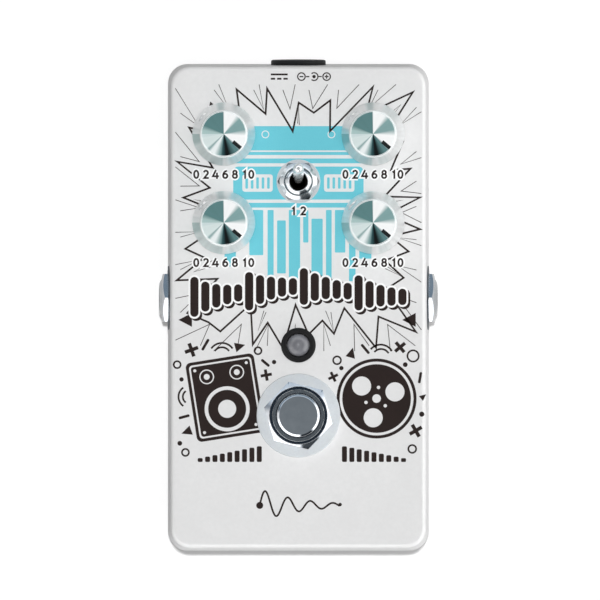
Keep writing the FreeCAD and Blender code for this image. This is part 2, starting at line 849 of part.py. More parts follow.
def make_footswitch_spring():
    """Return spring between the yoke and the plunger's head, a coil of short straight runs."""
    low = frame_top + spring_end_gap + spring_wire / 2
    rise = plunger_bottom - frame_top - 2 * spring_end_gap - spring_wire
    steps = round(spring_turns * spring_steps_per_turn)
    points = []
    for step in range(steps + 1):
        turn = 2 * math.pi * step / spring_steps_per_turn
        for side in range(spring_sides):
            angle = 2 * math.pi * side / spring_sides
            reach = spring_radius + spring_wire / 2 * math.cos(angle)
            height = low + rise * step / steps + spring_wire / 2 * math.sin(angle)
            points.append(Vector(reach * math.cos(turn), reach * math.sin(turn), height))
    facets = []
    for step in range(steps):
        for side in range(spring_sides):
            here = step * spring_sides + side
            beside = step * spring_sides + (side + 1) % spring_sides
            facets.append((here, here + spring_sides, beside))
            facets.append((beside, here + spring_sides, beside + spring_sides))
    last = steps * spring_sides
    for side in range(1, spring_sides - 1):
        facets.append((0, side, side + 1))
        facets.append((last, last + side + 1, last + side))
    shell = Part.Shape()
    shell.makeShapeFromMesh((points, facets), 0.001)
    spring = Part.Solid(Part.Shell(shell.Faces))
    return spring.translated(footswitch_place)


def make_footswitch_case():
    """Moulded case, open below, with a round way in for the plunger's clip."""
    case = rounded_block(switch_width, switch_width, case_bottom, frame_bottom, 0.6)
    room = switch_width - 2 * switch_wall
    case = case.cut(block(room, room, case_bottom, frame_bottom - switch_wall))
    way = clip_radius + 3 * seat_gap
    return case.cut(disc(way, frame_bottom - switch_wall, frame_bottom)).translated(footswitch_place)


def lug_places():
    return [(x * lug_pitch_x, y * lug_pitch_y) for x in (-1, 0, 1) for y in (-1, 0, 1)]


def make_footswitch_base():
    """Moulded base that closes the case and holds the lugs."""
    base = rounded_block(switch_width, switch_width, base_bottom, case_bottom, 0.6)
    slots = [block(lug_width + 2 * slot_gap, lug_thickness + 2 * slot_gap,
                   base_bottom, case_bottom, x, y) for x, y in lug_places()]
    return base.cut(group(slots)).translated(footswitch_place)


def make_footswitch_lugs():
    """Nine lugs: the middle row is the rocker's fulcrum and the outer rows are its contacts."""
    low = rim_z + lug_plate_gap - panel_z
    tilt = math.radians(rocker_throw_deg / 2)
    under = rocker_z - rocker_thickness / 2
    reach = lug_pitch_y + lug_thickness / 2
    pad_top = rocker_z - reach * math.sin(tilt) - rocker_thickness / 2 - rocker_gap
    half = lug_thickness / 2
    lugs = []
    for x, y in lug_places():
        if y == 0:
            crest = under - rocker_gap
            outline = [(-half, low), (half, low), (half, crest - half), (half / 4, crest),
                       (-half / 4, crest), (-half, crest - half)]
            lugs.append(strip(outline, lug_width, x))
        else:
            lugs.append(block(lug_width, lug_thickness, low, pad_top, x, y))
    return group(each_at(group(lugs), [footswitch_place]))


def make_footswitch_rocker():
    """Contact rocker on the middle lugs, at rest on its front contacts."""
    half = rocker_thickness / 2
    rocker = block(2 * rocker_half_width, 2 * rocker_half_length, -half, half)
    rocker.rotate(Vector(), Vector(1, 0, 0), rocker_throw_deg / 2)
    return rocker.translated(footswitch_place + UP * rocker_z)


def make_nylon_washer():
    """White washer that keeps the dress nut off the paint."""
    washer = ring(nylon_radius, bushing_radius + hole_gap, 0, nylon_thickness)
    return washer.translated(footswitch_place)


def make_dress_nut():
    """Chromed nut: a hexagon below and a bevelled round collar above."""
    bottom = nylon_thickness
    shoulder = bottom + dress_nut_height
    top = shoulder + collar_height
    bore = bushing_radius + thread_gap
    nut = crowned_nut(dress_nut_flats, bore, bottom, shoulder, dress_nut_turn_deg)
    collar = turned([(bore, shoulder), (collar_radius, shoulder),
                     (collar_radius, top - collar_bevel_height),
                     (collar_radius - collar_bevel, top), (bore, top)])
    return joined(nut, [collar]).translated(footswitch_place)


def make_lock_washer():
    """Internal-tooth washer under the panel."""
    top = -top_wall
    bottom = top - lock_washer_thickness
    washer = ring(lock_washer_radius, bushing_radius + hole_gap, bottom, top)
    notch_width = math.pi * bushing_radius / lock_washer_teeth
    notches = []
    for step in range(lock_washer_teeth):
        notch = block(2 * lock_tooth_depth, notch_width, bottom, top,
                      bushing_radius + hole_gap, 0)
        notch.rotate(Vector(), UP, 360 / lock_washer_teeth * step)
        notches.append(notch)
    return washer.cut(group(notches)).translated(footswitch_place)


def make_inner_nut():
    top = -top_wall - lock_washer_thickness
    nut = plain_nut(dress_nut_flats, bushing_radius + thread_gap, top - inner_nut_height, top)
    return nut.translated(footswitch_place)


# Jacks, built with the wall's outer face at Z = 0, Z out of the wall and Y up
jack_inner = -wall_slant
jack_back = jack_inner - jack_length
jack_room_front = jack_inner - jack_front
leg_x = jack_width / 2 - jack_wall - leaf_thickness / 2 - slot_gap
tip_leg_z = jack_room_front - 3.2
sleeve_leg_z = jack_back + 5.6


def make_jack_bushings():
    """Threaded sleeve that takes the plug, with a flange held between wall and case."""
    flange_bottom = jack_inner - jack_flange_thickness
    bushing = turned([
        (jack_bore_radius, flange_bottom), (jack_flange_radius, flange_bottom),
        (jack_flange_radius, jack_inner), (jack_thread_radius, jack_inner),
        (jack_thread_radius, jack_stand), (jack_bore_radius, jack_stand)])
    return group([on_wall(bushing, place) for place in jack_places])


def leg_slot(x, z):
    """Cutter for the slot that a contact's leg leaves the case through."""
    width = leaf_thickness + 2 * slot_gap
    length = leg_width + 2 * slot_gap
    slot = Part.makeBox(width, 3 * jack_wall, length)
    return slot.translated(Vector(x - width / 2, -jack_height / 2 - jack_wall, z - length / 2))


def make_jack_case():
    """Moulded case, with the seat of the bushing in front and a way out for the plug's tip."""
    case = Part.makeBox(jack_width, jack_height, jack_length,
                        Vector(-jack_width / 2, -jack_height / 2, jack_back))
    case = case.makeFillet(1.0, upright_edges(case))
    room = Part.makeBox(jack_width - 2 * jack_wall, jack_height - 2 * jack_wall,
                        jack_length - jack_front - jack_wall,
                        Vector(jack_wall - jack_width / 2, jack_wall - jack_height / 2,
                               jack_back + jack_wall))
    seat = disc(jack_flange_radius + thread_gap, jack_inner - jack_flange_thickness, jack_inner)
    way_in = disc(jack_thread_radius, jack_room_front, jack_inner)
    way_out = disc(jack_bore_radius + 3 * hole_gap, jack_back, jack_back + jack_wall)
    slots = [leg_slot(leg_x, tip_leg_z), leg_slot(-leg_x, sleeve_leg_z)]
    return case.cut(group([room, seat, way_in, way_out] + slots))


def leaf(side, root, bump, leg_z):
    """Contact spring: a leaf along one side wall that bends in to the plug, and its leg."""
    inner = side * (leg_x - leaf_thickness / 2)
    outer = side * (leg_x + leaf_thickness / 2)
    reach = 1 if bump > root else -1
    touch = side * leaf_bump
    tip = side * leaf_rest
    thick = side * leaf_thickness
    outline = [(outer, root), (outer, root + reach * 3.0), (touch + thick, bump),
               (tip + thick, bump + reach * 1.4), (tip, bump + reach * 1.4), (touch, bump),
               (inner, root + reach * 3.0), (inner, root)]
    points = [Vector(x, -leaf_width / 2, z) for x, z in outline]
    spring = Part.Face(Part.makePolygon(points + points[:1])).extrude(Vector(0, leaf_width, 0))
    low = -jack_height / 2 - leg_drop
    leg = Part.makeBox(leaf_thickness, leaf_width / 2 - low, leg_width,
                       Vector(min(inner, outer), low, leg_z - leg_width / 2))
    return joined(spring, [leg])


def make_jack_contacts():
    """Tip and sleeve contacts of both jacks."""
    tip = leaf(1, tip_leg_z + leg_width / 2, jack_back + jack_wall + 1.6, tip_leg_z)
    sleeve = leaf(-1, sleeve_leg_z - leg_width / 2, jack_room_front - 1.6, sleeve_leg_z)
    return group([on_wall(contact, place) for place in jack_places for contact in (tip, sleeve)])


def make_jack_washers():
    washer = ring(jack_washer_radius, jack_thread_radius + hole_gap, 0, jack_washer_thickness)
    return group([on_wall(washer, place) for place in jack_places])


def make_jack_nuts():
    """Hexagonal nuts with one corner up."""
    bottom = jack_washer_thickness
    nut = crowned_nut(jack_nut_flats, jack_thread_radius + thread_gap,
                      bottom, bottom + jack_nut_height, 90.0)
    return group([on_wall(nut, place) for place in jack_places])


# Power socket, in the same way on the rear wall
power_floor = power_flange_thickness - power_bore_depth
power_back = -power_body_length


def make_power_housing():
    """Moulded socket: round flange outside, threaded barrel, closed floor with lug slots."""
    lugs = power_lug_cutters(2 * slot_gap)
    housing = turned([
        (0, power_back), (power_thread_radius, power_back), (power_thread_radius, 0),
        (power_flange_radius, 0), (power_flange_radius, power_flange_thickness),
        (power_bore_radius, power_flange_thickness), (power_bore_radius, power_floor),
        (0, power_floor)])
    return on_wall(housing.cut(group(lugs)), power_place)


def power_lug_cutters(extra):
    """The three blades behind the floor, grown by a gap when they cut their slots."""
    top = power_floor
    low = power_back - power_lug_length
    thick = leaf_thickness + extra
    wide = power_lug_width + extra
    centre = block(thick, wide, low, top)
    return [centre] + [block(thick, wide, low, top, side * power_lug_offset * 0.75, 0)
                       for side in (-1, 1)]


def make_power_contacts():
    """Centre pin on its lug, the sleeve's leaf spring on its lug, and the break contact."""
    centre, break_lug, sleeve_lug = power_lug_cutters(0.0)
    pin_top = power_flange_thickness - power_pin_recess
    edge = 0.3
    pin = turned([(0, power_floor), (power_pin_radius, power_floor),
                  (power_pin_radius, pin_top - edge), (power_pin_radius - edge, pin_top),
                  (0, pin_top)])
    inner = power_lug_offset * 0.75 - leaf_thickness / 2
    leaf_top = power_floor + 6.4
    spring = Part.makeBox(leaf_thickness, power_leaf_width, leaf_top - power_floor,
                          Vector(inner, -power_leaf_width / 2, power_floor))
    parts = [joined(pin, [centre]), joined(spring, [sleeve_lug]), break_lug]
    return group([on_wall(part, power_place) for part in parts])


def make_power_nut():
    top = -wall_slant
    nut = plain_nut(power_nut_flats, power_thread_radius + thread_gap, top - power_nut_height, top)
    return on_wall(nut, power_place)


# Circuit boards
def make_main_board():
    """Board that hangs from the four potentiometers, cut out round the toggle switch."""
    length = main_board_rear - main_board_front
    middle = (main_board_rear + main_board_front) / 2
    board = rounded_block(main_board_width, length, main_board_under, main_board_top,
                          board_corner, 0, middle)
    cuts = [block(board_window_width, toggle_case_length + 2 * board_window_gap,
                  main_board_under, main_board_top, 0, toggle_y)]
    grow = 2 * board_hole_gap
    leg_y = -pot_front - terminal_reach + terminal_thickness / 2
    tab_x = (pot_width + pot_tab_thickness) / 2
    for place in control_places.values():
        for step in (-1, 0, 1):
            cuts.append(block(terminal_width + grow, terminal_thickness + grow,
                              main_board_under, main_board_top,
                              place.x + step * terminal_pitch, place.y + leg_y))
        for side in (-1, 1):
            cuts.append(block(pot_tab_thickness + grow, pot_tab_width + grow,
                              main_board_under, main_board_top, place.x + side * tab_x, place.y))
    return board.cut(group(cuts))


def make_switch_board():
    """Board under the footswitch, with a tongue for the ribbon cable's header."""
    length = switch_board_rear - switch_board_front
    middle = (switch_board_rear + switch_board_front) / 2
    board = block(switch_board_width, length, switch_board_under, switch_board_top, 0, middle)
    tongue = block(switch_board_tongue_width, 2 * switch_board_tongue,
                   switch_board_under, switch_board_top, 0, switch_board_rear)
    board = joined(board, [tongue])
    grow = 2 * board_hole_gap
    cuts = [block(lug_width + grow, lug_thickness + grow, switch_board_under, switch_board_top,
                  x, footswitch_y + y) for x, y in lug_places()]
    cuts += [block(lead_size + grow, lead_size + grow, switch_board_under, switch_board_top,
                   side * lead_pitch / 2, lamp_y) for side in (-1, 1)]
    return board.cut(group(cuts))


def under_main_board(shape, x, y):
    """Hangs a component, built upwards from Z = 0, below the main board."""
    hung = shape.copy()
    hung.rotate(Vector(), Vector(1, 0, 0), 180)
    return hung.translated(Vector(x, y, main_board_under))


def chip(length, width, height, legs):
    """Surface-mount chip with a row of flat legs along both sides, lying on Z = 0."""
    body = block(length, width, chip_leg_thickness / 2, height)
    first = -(legs - 1) * chip_pitch / 2
    rows = [block(chip_leg_width, width + 2 * chip_leg_reach, 0, chip_leg_thickness,
                  first + step * chip_pitch) for step in range(legs)]
    return joined(body, rows)


def make_board_chips():
    """Delay chip and an amplifier chip beside the toggle switch, and one by the supply."""
    delay_chip = chip(delay_chip_length, delay_chip_width, delay_chip_height, 8)
    amplifier = chip(amplifier_length, amplifier_width, amplifier_height, 4)
    beside = board_window_width / 2 + chip_window_gap
    y = rear_row_y - chip_row_offset
    return group([under_main_board(delay_chip, -beside - delay_chip_length / 2, y),
                  under_main_board(amplifier, beside + amplifier_length / 2, y),
                  under_main_board(amplifier, supply_chip_x, rear_row_y + supply_chip_offset)])


def make_electrolytic_capacitors():
    """Aluminium cans along the rear edge of the main board."""
    can = disc(can_radius, 0, can_height)
    y = main_board_rear - can_radius - can_edge_gap
    return group([under_main_board(can, x, y) for x in (-can_x, can_x, can_x + can_pitch)])


def make_film_capacitors():
    """Boxed film capacitors in a row along the right edge of the main board."""
    box = block(film_length, film_thickness, 0, film_height)
    box = box.makeChamfer(0.3, edges_at(box, film_height))
    x = main_board_width / 2 - film_edge_gap - film_length / 2
    return group([under_main_board(box, x, rear_row_y - film_row_offset + step * film_pitch)
                  for step in range(4)])


def make_board_resistors():
    """Surface-mount resistors on both sides of the board's middle."""
    resistor = block(resistor_width, resistor_length, 0, resistor_height)
    far_x = resistor_x + resistor_pitch
    places = [(resistor_x, resistor_row_offset), (far_x, resistor_row_offset),
              (far_x, resistor_rear_offset), (far_x + resistor_pitch, resistor_rear_offset)]
    return group([under_main_board(resistor, side * x, rear_row_y - offset)
                  for side in (-1, 1) for x, offset in places])


def make_board_headers():
    """Socket of the ribbon cable on each board."""
    main = block(header_width, header_depth, 0, main_header_height)
    main = main.cut(block(header_width - 2 * header_wall, header_depth - 2 * header_wall,
                          ribbon_thickness * 2, main_header_height))
    main = under_main_board(main, 0, main_header_y)
    low = switch_board_top
    side_entry = block(header_width, header_depth, low, low + switch_header_height,
                       0, switch_header_y)
    mouth = block(header_width - 2 * header_wall, header_depth, low + header_wall,
                  low + switch_header_height - header_wall, 0, switch_header_y + header_wall)
    return group([main, side_entry.cut(mouth)])


def make_ribbon_cable():
    """Flat cable from the switch board, low under the jacks, up to the main board."""
    low = switch_board_top + switch_header_height / 2 - ribbon_thickness / 2
    high = low + ribbon_thickness
    start = switch_header_y - header_depth / 2 + 0.9
    inner_y = main_header_y - ribbon_thickness / 2
    outer_y = main_header_y + ribbon_thickness / 2
    top = main_board_under - 2.5 * ribbon_thickness
    bend = ribbon_bend
    outside = bend + ribbon_thickness
    share = math.sin(math.radians(45))

    def edge(start_point, end_point):
        return Part.makeLine(Vector(0, *start_point), Vector(0, *end_point))

    def bend_edge(centre, radius, turn):
        first = Vector(0, centre[0], centre[1] - radius)
        last = Vector(0, centre[0] + radius, centre[1])
        middle = Vector(0, centre[0] + radius * share, centre[1] - radius * share)
        points = (first, middle, last) if turn > 0 else (last, middle, first)
        return Part.Arc(*points).toShape()

    centre = (inner_y - bend, high + bend)
    outline = [
        edge((start, low), (centre[0], low)),
        bend_edge(centre, outside, 1),
        edge((outer_y, centre[1]), (outer_y, top)),
        edge((outer_y, top), (inner_y, top)),
        edge((inner_y, top), (inner_y, centre[1])),
        bend_edge(centre, bend, -1),
        edge((centre[0], high), (start, high)),
        edge((start, high), (start, low)),
    ]
    cable = Part.Face(Part.Wire(outline)).extrude(Vector(ribbon_width, 0, 0))
    return cable.translated(Vector(-ribbon_width / 2, 0, 0))


def make_hookup_wires():
    """Insulated wires from the jacks and the power socket up to the main board."""
    wires = []
    for place in jack_places:
        for x, z in ((leg_x, tip_leg_z), (-leg_x, sleeve_leg_z)):
            low = -jack_height / 2 - leg_drop - wire_radius - slot_gap
            start = place.multVec(Vector(x, low, z))
            corner = Vector(start.x, jack_wire_y, start.z)
            end = Vector(start.x, jack_wire_y, main_board_under)
            wires.append(bent_wire(start, corner, end, wire_radius, wire_bend))
    lug_low = power_back - power_lug_length - slot_gap
    for x in (0.0, power_lug_offset * 0.75):
        start = power_place.multVec(Vector(x, 0, lug_low))
        corner = Vector(start.x, power_wire_y, start.z)
        end = Vector(start.x, power_wire_y, main_board_under)
        wires.append(bent_wire(start, corner, end, wire_radius, wire_bend / 2))
    return group(wires)


# Every node of the assembly
nodes = {
    "enclosure_shell": make_enclosure_shell(),
    "base_plate": make_base_plate(),
    "base_screws": make_base_screws(),
    "rubber_feet": make_rubber_feet(),
    "pot_brackets": make_pot_brackets(),
    "pot_cases": make_pot_cases(),
    "pot_terminals": make_pot_terminals(),
    "pot_nuts": make_pot_nuts(),
    "toggle_bushing": make_toggle_bushing(),
    "toggle_frame": make_toggle_frame(),
    "toggle_case": make_toggle_case(),
    "toggle_terminals": make_toggle_terminals(),
    "toggle_lever": make_toggle_lever(),
    "toggle_rocker": make_toggle_rocker(),
    "toggle_washer": make_toggle_washer(),
    "toggle_nut": make_toggle_nut(),
    "lamp_bezel": make_lamp_bezel(),
    "lamp_lens": make_lamp_lens(),
    "lamp_leads": make_lamp_leads(),
    "footswitch_button": make_footswitch_button(),
    "footswitch_bushing": make_footswitch_bushing(),
    "footswitch_yoke": make_footswitch_yoke(),
    "footswitch_spring": make_footswitch_spring(),
    "footswitch_case": make_footswitch_case(),
    "footswitch_base": make_footswitch_base(),
    "footswitch_lugs": make_footswitch_lugs(),
    "footswitch_rocker": make_footswitch_rocker(),
    "footswitch_nylon_washer": make_nylon_washer(),
    "footswitch_dress_nut": make_dress_nut(),
    "footswitch_lock_washer": make_lock_washer(),
    "footswitch_inner_nut": make_inner_nut(),
    "jack_bushings": make_jack_bushings(),
    "input_jack_case": on_wall(make_jack_case(), input_place),
    "output_jack_case": on_wall(make_jack_case(), output_place),
    "jack_contacts": make_jack_contacts(),
    "jack_washers": make_jack_washers(),
    "jack_nuts": make_jack_nuts(),
    "power_socket_housing": make_power_housing(),
    "power_socket_contacts": make_power_contacts(),
    "power_socket_nut": make_power_nut(),
    "main_board": make_main_board(),
    "switch_board": make_switch_board(),
    "board_chips": make_board_chips(),
    "electrolytic_capacitors": make_electrolytic_capacitors(),
    "film_capacitors": make_film_capacitors(),
    "board_resistors": make_board_resistors(),
    "board_headers": make_board_headers(),
    "ribbon_cable": make_ribbon_cable(),
    "hookup_wires": make_hookup_wires(),
}
knob = make_knob()
pot_shaft = make_pot_shaft()
for name in control_places:
    nodes[name + "_knob"] = at_control(knob, name)
    nodes[name + "_pot_shaft"] = at_control(pot_shaft, name)

os.makedirs("parts", exist_ok=True)
for name, shape in nodes.items():
    shape.exportStep("parts/" + name + ".step")
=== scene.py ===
import math

import bpy
from mathutils import Matrix, Vector


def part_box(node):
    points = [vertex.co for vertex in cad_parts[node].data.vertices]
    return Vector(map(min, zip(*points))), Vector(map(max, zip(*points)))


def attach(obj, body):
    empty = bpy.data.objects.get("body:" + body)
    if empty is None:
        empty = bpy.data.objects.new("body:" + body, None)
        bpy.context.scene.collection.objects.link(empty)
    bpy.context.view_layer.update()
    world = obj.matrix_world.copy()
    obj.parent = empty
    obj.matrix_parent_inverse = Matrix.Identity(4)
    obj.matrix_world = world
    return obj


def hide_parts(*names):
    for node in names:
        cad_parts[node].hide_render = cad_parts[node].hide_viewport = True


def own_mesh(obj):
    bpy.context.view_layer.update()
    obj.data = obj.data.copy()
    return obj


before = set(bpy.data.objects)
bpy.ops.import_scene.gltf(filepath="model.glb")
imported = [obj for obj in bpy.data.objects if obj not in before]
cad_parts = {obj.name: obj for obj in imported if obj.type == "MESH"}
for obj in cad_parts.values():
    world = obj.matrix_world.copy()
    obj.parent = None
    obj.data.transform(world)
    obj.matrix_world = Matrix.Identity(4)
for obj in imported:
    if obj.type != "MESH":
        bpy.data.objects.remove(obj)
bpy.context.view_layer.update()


# Enclosure: a die-cast aluminium box with drafted walls, and the plate that closes it.
# Both are powder coated in pale grey, which leaves a fine and even orange peel.
MM = 0.001
PAINT_GREY = "e6e6e6"
PAINT_SHADE = "e1e1e1"
ORANGE_PEEL = 0.9
HANDLING = 9.0


def colour(text):
    """The linear colour of a six-digit sRGB hex value."""
    channels = [int(text[place:place + 2], 16) / 255 for place in (0, 2, 4)]
    return [c / 12.92 if c <= 0.04045 else ((c + 0.055) / 1.055) ** 2.4 for c in channels] + [1.0]


def new_material(name, **surface):
    """A material whose surface shader has the given socket values."""
    material = bpy.data.materials.new(name)
    material.use_nodes = True
    shader = material.node_tree.nodes["Principled BSDF"]
    for socket, value in surface.items():
        shader.inputs[socket.replace("_", " ")].default_value = value
    return material


def add_node(material, kind, links, stops=(), **settings):
    """Adds a node with its settings, and links or sets its sockets."""
    tree = material.node_tree
    node = tree.nodes.new(kind)
    for name, value in settings.items():
        setattr(node, name, value)
    for name, value in links.items():
        if isinstance(value, bpy.types.NodeSocket):
            tree.links.new(value, node.inputs[name])
        else:
            node.inputs[name].default_value = value
    for spare in stops[2:]:
        node.color_ramp.elements.new(1.0)
    for stop, (place, shade) in enumerate(stops):
        node.color_ramp.elements[stop].position = place
        node.color_ramp.elements[stop].color = colour(shade)
    return node


def set_surface(material, **sockets):
    """Links sockets of the surface shader to nodes."""
    tree = material.node_tree
    for name, source in sockets.items():
        tree.links.new(source, tree.nodes["Principled BSDF"].inputs[name.replace("_", " ")])


def grained(name, shades, grain, relief, rough, stretch=(1, 1, 1), **surface):
    """A finish with a grain in mm: two shades, a spread of roughness and a low relief. A grain
    too fine for the render is drawn as coarse as it needs to show; handling clouds it softly."""
    material = new_material(name, **surface)
    place = add_node(material, "ShaderNodeTexCoord", {})
    scaled = add_node(material, "ShaderNodeMapping",
                      {"Vector": place.outputs["Object"], "Scale": stretch})
    grit = add_node(material, "ShaderNodeTexNoise",
                    {"Vector": scaled.outputs["Vector"], "Scale": 1 / (grain * MM), "Detail": 3.0})
    clouds = add_node(material, "ShaderNodeTexNoise",
                      {"Vector": place.outputs["Object"], "Scale": 1 / (HANDLING * MM),
                       "Detail": 2.0})
    blend = add_node(material, "ShaderNodeMath",
                     {0: grit.outputs["Fac"], 1: clouds.outputs["Fac"]}, operation="MULTIPLY")
    tint = add_node(material, "ShaderNodeValToRGB", {"Fac": blend.outputs["Value"]},
                    [(0.12, shades[1]), (0.42, shades[0])])
    gloss = add_node(material, "ShaderNodeMapRange",
                     {"Value": grit.outputs["Fac"], "To Min": rough[0], "To Max": rough[1]})
    bump = add_node(material, "ShaderNodeBump",
                    {"Height": grit.outputs["Fac"], "Strength": 0.6, "Distance": relief * MM})
    set_surface(material, Base_Color=tint.outputs["Color"], Roughness=gloss.outputs["Result"],
                Normal=bump.outputs["Normal"])
    return material


def smooth_copy(node, body, slot, material, angle=30):
    """A copy of a CAD piece with its triangles joined, so that curved faces shade as curves."""
    bpy.ops.object.select_all(action="DESELECT")
    piece = bpy.data.objects.new(node + "_finish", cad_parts[node].data.copy())
    bpy.context.collection.objects.link(piece)
    piece.data.materials.clear()
    bpy.context.view_layer.objects.active = piece
    piece.select_set(True)
    bpy.ops.object.mode_set(mode="EDIT")
    bpy.ops.mesh.select_all(action="SELECT")
    bpy.ops.mesh.remove_doubles(threshold=0.002 * MM)
    bpy.ops.object.mode_set(mode="OBJECT")
    if piece.data.has_custom_normals:
        bpy.ops.mesh.customdata_custom_splitnormals_clear()
    smooth(piece, angle)
    settle(piece, body, slot, material, node)
    return piece


def smooth(piece, angle=32):
    """Shades curved faces as curves, keeps flat faces flat and leaves the edges sharp."""
    bpy.ops.object.select_all(action="DESELECT")
    bpy.context.view_layer.objects.active = piece
    piece.select_set(True)
    bpy.ops.object.shade_smooth_by_angle(angle=math.radians(angle))
    weighted = piece.modifiers.new("Weighted", "WEIGHTED_NORMAL")
    weighted.keep_sharp = True
    weighted.weight = 90
    bpy.ops.object.modifier_apply(modifier="Weighted")


def settle(piece, body, slot, material, *nodes):
    """Gives a finished piece its material and its body, and hides the CAD pieces it stands for. The
    slot is not used.
    """
    if material:
        piece.data.materials.append(material)
    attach(piece, body)
    if nodes:
        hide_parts(*nodes)


# Powder coat: a satin polyester skin whose slight orange peel softens every reflection.
powder_coat = grained("powder_coat", (PAINT_GREY, PAINT_SHADE), ORANGE_PEEL, 0.006, (0.28, 0.36),
                      Specular_IOR_Level=0.9)
smooth_copy("enclosure_shell", "enclosure", "white_paint", powder_coat)
smooth_copy("base_plate", "enclosure", "white_paint", powder_coat)


# Base screws: four zinc-plated steel screws with cross recesses, flush with the base plate.
# The zinc is passivated, so it has a faint blue and a cloudy grain.
zinc_plating = grained("zinc_plating", ("c2c8cc", "a9b0b6"), 0.5, 0.002, (0.28, 0.42), Metallic=1.0)
smooth_copy("base_screws", "enclosure", "zinc_steel", zinc_plating)


# Feet: four turned rubber feet, stuck under the base plate.
# Matt black rubber with a fine dusty grain.
foot_rubber = grained("foot_rubber", ("1d1d1e", "131314"), 0.4, 0.01, (0.75, 0.9))
smooth_copy("rubber_feet", "enclosure", "black_rubber", foot_rubber)


# Panel print: thin screen-printed inks over the coat, cyan first, then black and white.
# It carries plain zigzags, falling bars, a fading echo, numbers, a speaker and a reel.
PANEL_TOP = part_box("toggle_washer")[0][2] / MM
INK_SUNK = 0.02
INK_STEP = 0.002
CYAN_TOP = 0.02
BLACK_TOP = 0.04
FINE_LINE = 0.16
MARK_LINE = 0.28
BOLD_LINE = 0.42


def circle(x, y, radius, points=40):
    """Outline of a round dot or hole."""
    return [(x + radius * math.cos(2 * math.pi * step / points),
             y + radius * math.sin(2 * math.pi * step / points)) for step in range(points)]


def rounded(x, y, width, height, radius, turn=0.0):
    """Outline of a rectangle with round corners, turned about its own centre."""
    outline = []
    for corner in range(4):
        side_x = 1 if corner in (0, 3) else -1
        side_y = 1 if corner in (0, 1) else -1
        for step in range(7):
            angle = math.radians(90 * corner + 15 * step)
            outline.append((side_x * (width / 2 - radius) + radius * math.cos(angle),
                            side_y * (height / 2 - radius) + radius * math.sin(angle)))
    return turned_outline(outline, x, y, turn)


def turned_outline(outline, x, y, turn):
    """Turns an outline in degrees about its own origin and sets that origin at a point."""
    c, s = math.cos(math.radians(turn)), math.sin(math.radians(turn))
    return [(x + c * a - s * b, y + s * a + c * b) for a, b in outline]


def stroke(points, width, closed=False):
    """Outlines of a pen line of even width through points, with mitred corners."""
    path = [complex(x, y) for x, y in points]
    sides = ([], [])
    for place, point in enumerate(path):
        before = path[place - 1] if closed or place else None
        after = path[(place + 1) % len(path)] if closed or place + 1 < len(path) else None
        entry = (point - before) / abs(point - before) if before is not None else None
        leave = (after - point) / abs(after - point) if after is not None else entry
        entry = entry if entry is not None else leave
        middle = (entry + leave) / max(abs(entry + leave), 1e-6)
        reach = width / 2 / max(abs((middle * entry.conjugate()).real), 0.3)
        for side, outline in zip((1j, -1j), sides):
            edge = point + middle * side * reach
            outline.append((edge.real, edge.imag))
    return [sides[0], sides[1]] if closed else [sides[0] + sides[1][::-1]]


def print_ink(name, groups, top, ink):
    """A thin layer of ink in mm, sunk a little into the coat. Each group of outlines is filled
    alone, and groups that follow each other differ a little in height, because they may cross."""
    layers = []
    for place, outlines in enumerate(groups):
        rise = top + INK_STEP * (place % 4)
        bpy.ops.object.select_all(action="DESELECT")
        curve = bpy.data.curves.new(name, "CURVE")
        curve.dimensions = "2D"
        curve.fill_mode = "BOTH"
        curve.extrude = (rise + INK_SUNK) / 2 * MM
        for outline in outlines:
            spline = curve.splines.new("POLY")
            spline.points.add(len(outline) - 1)
            for point, (x, y) in zip(spline.points, outline):
                point.co = (x * MM, y * MM, 0, 1)
            spline.use_cyclic_u = True
        layer = bpy.data.objects.new(name, curve)
        bpy.context.collection.objects.link(layer)
        bpy.context.view_layer.objects.active = layer
        layer.select_set(True)
        bpy.ops.object.convert(target="MESH")
        layer = bpy.context.object
        layer.data.transform(Matrix.Translation((0, 0, (PANEL_TOP + (rise - INK_SUNK) / 2) * MM)))
        layers.append(layer)
    bpy.ops.object.select_all(action="DESELECT")
    for layer in layers:
        layer.select_set(True)
    bpy.context.view_layer.objects.active = layers[0]
    if len(layers) > 1:
        bpy.ops.object.join()
    piece = bpy.context.view_layer.objects.active
    piece.name = name
    piece.data.materials.clear()
    settle(piece, "enclosure", None, ink)


# Screen ink: a thin vinyl layer, a little glossier than the coat under it. Its colours are flat,
# with the faint grain of the screen's mesh.
cyan_ink = grained("cyan_screen_ink", ("6ec7d5", "68c2d1"), 0.3, 0.002, (0.3, 0.4))
white_ink = grained("white_screen_ink", ("f6f6f6", "f2f2f2"), 0.3, 0.002, (0.3, 0.4))
black_ink = grained("black_screen_ink", ("231815", "1e1411"), 0.3, 0.002, (0.3, 0.4))

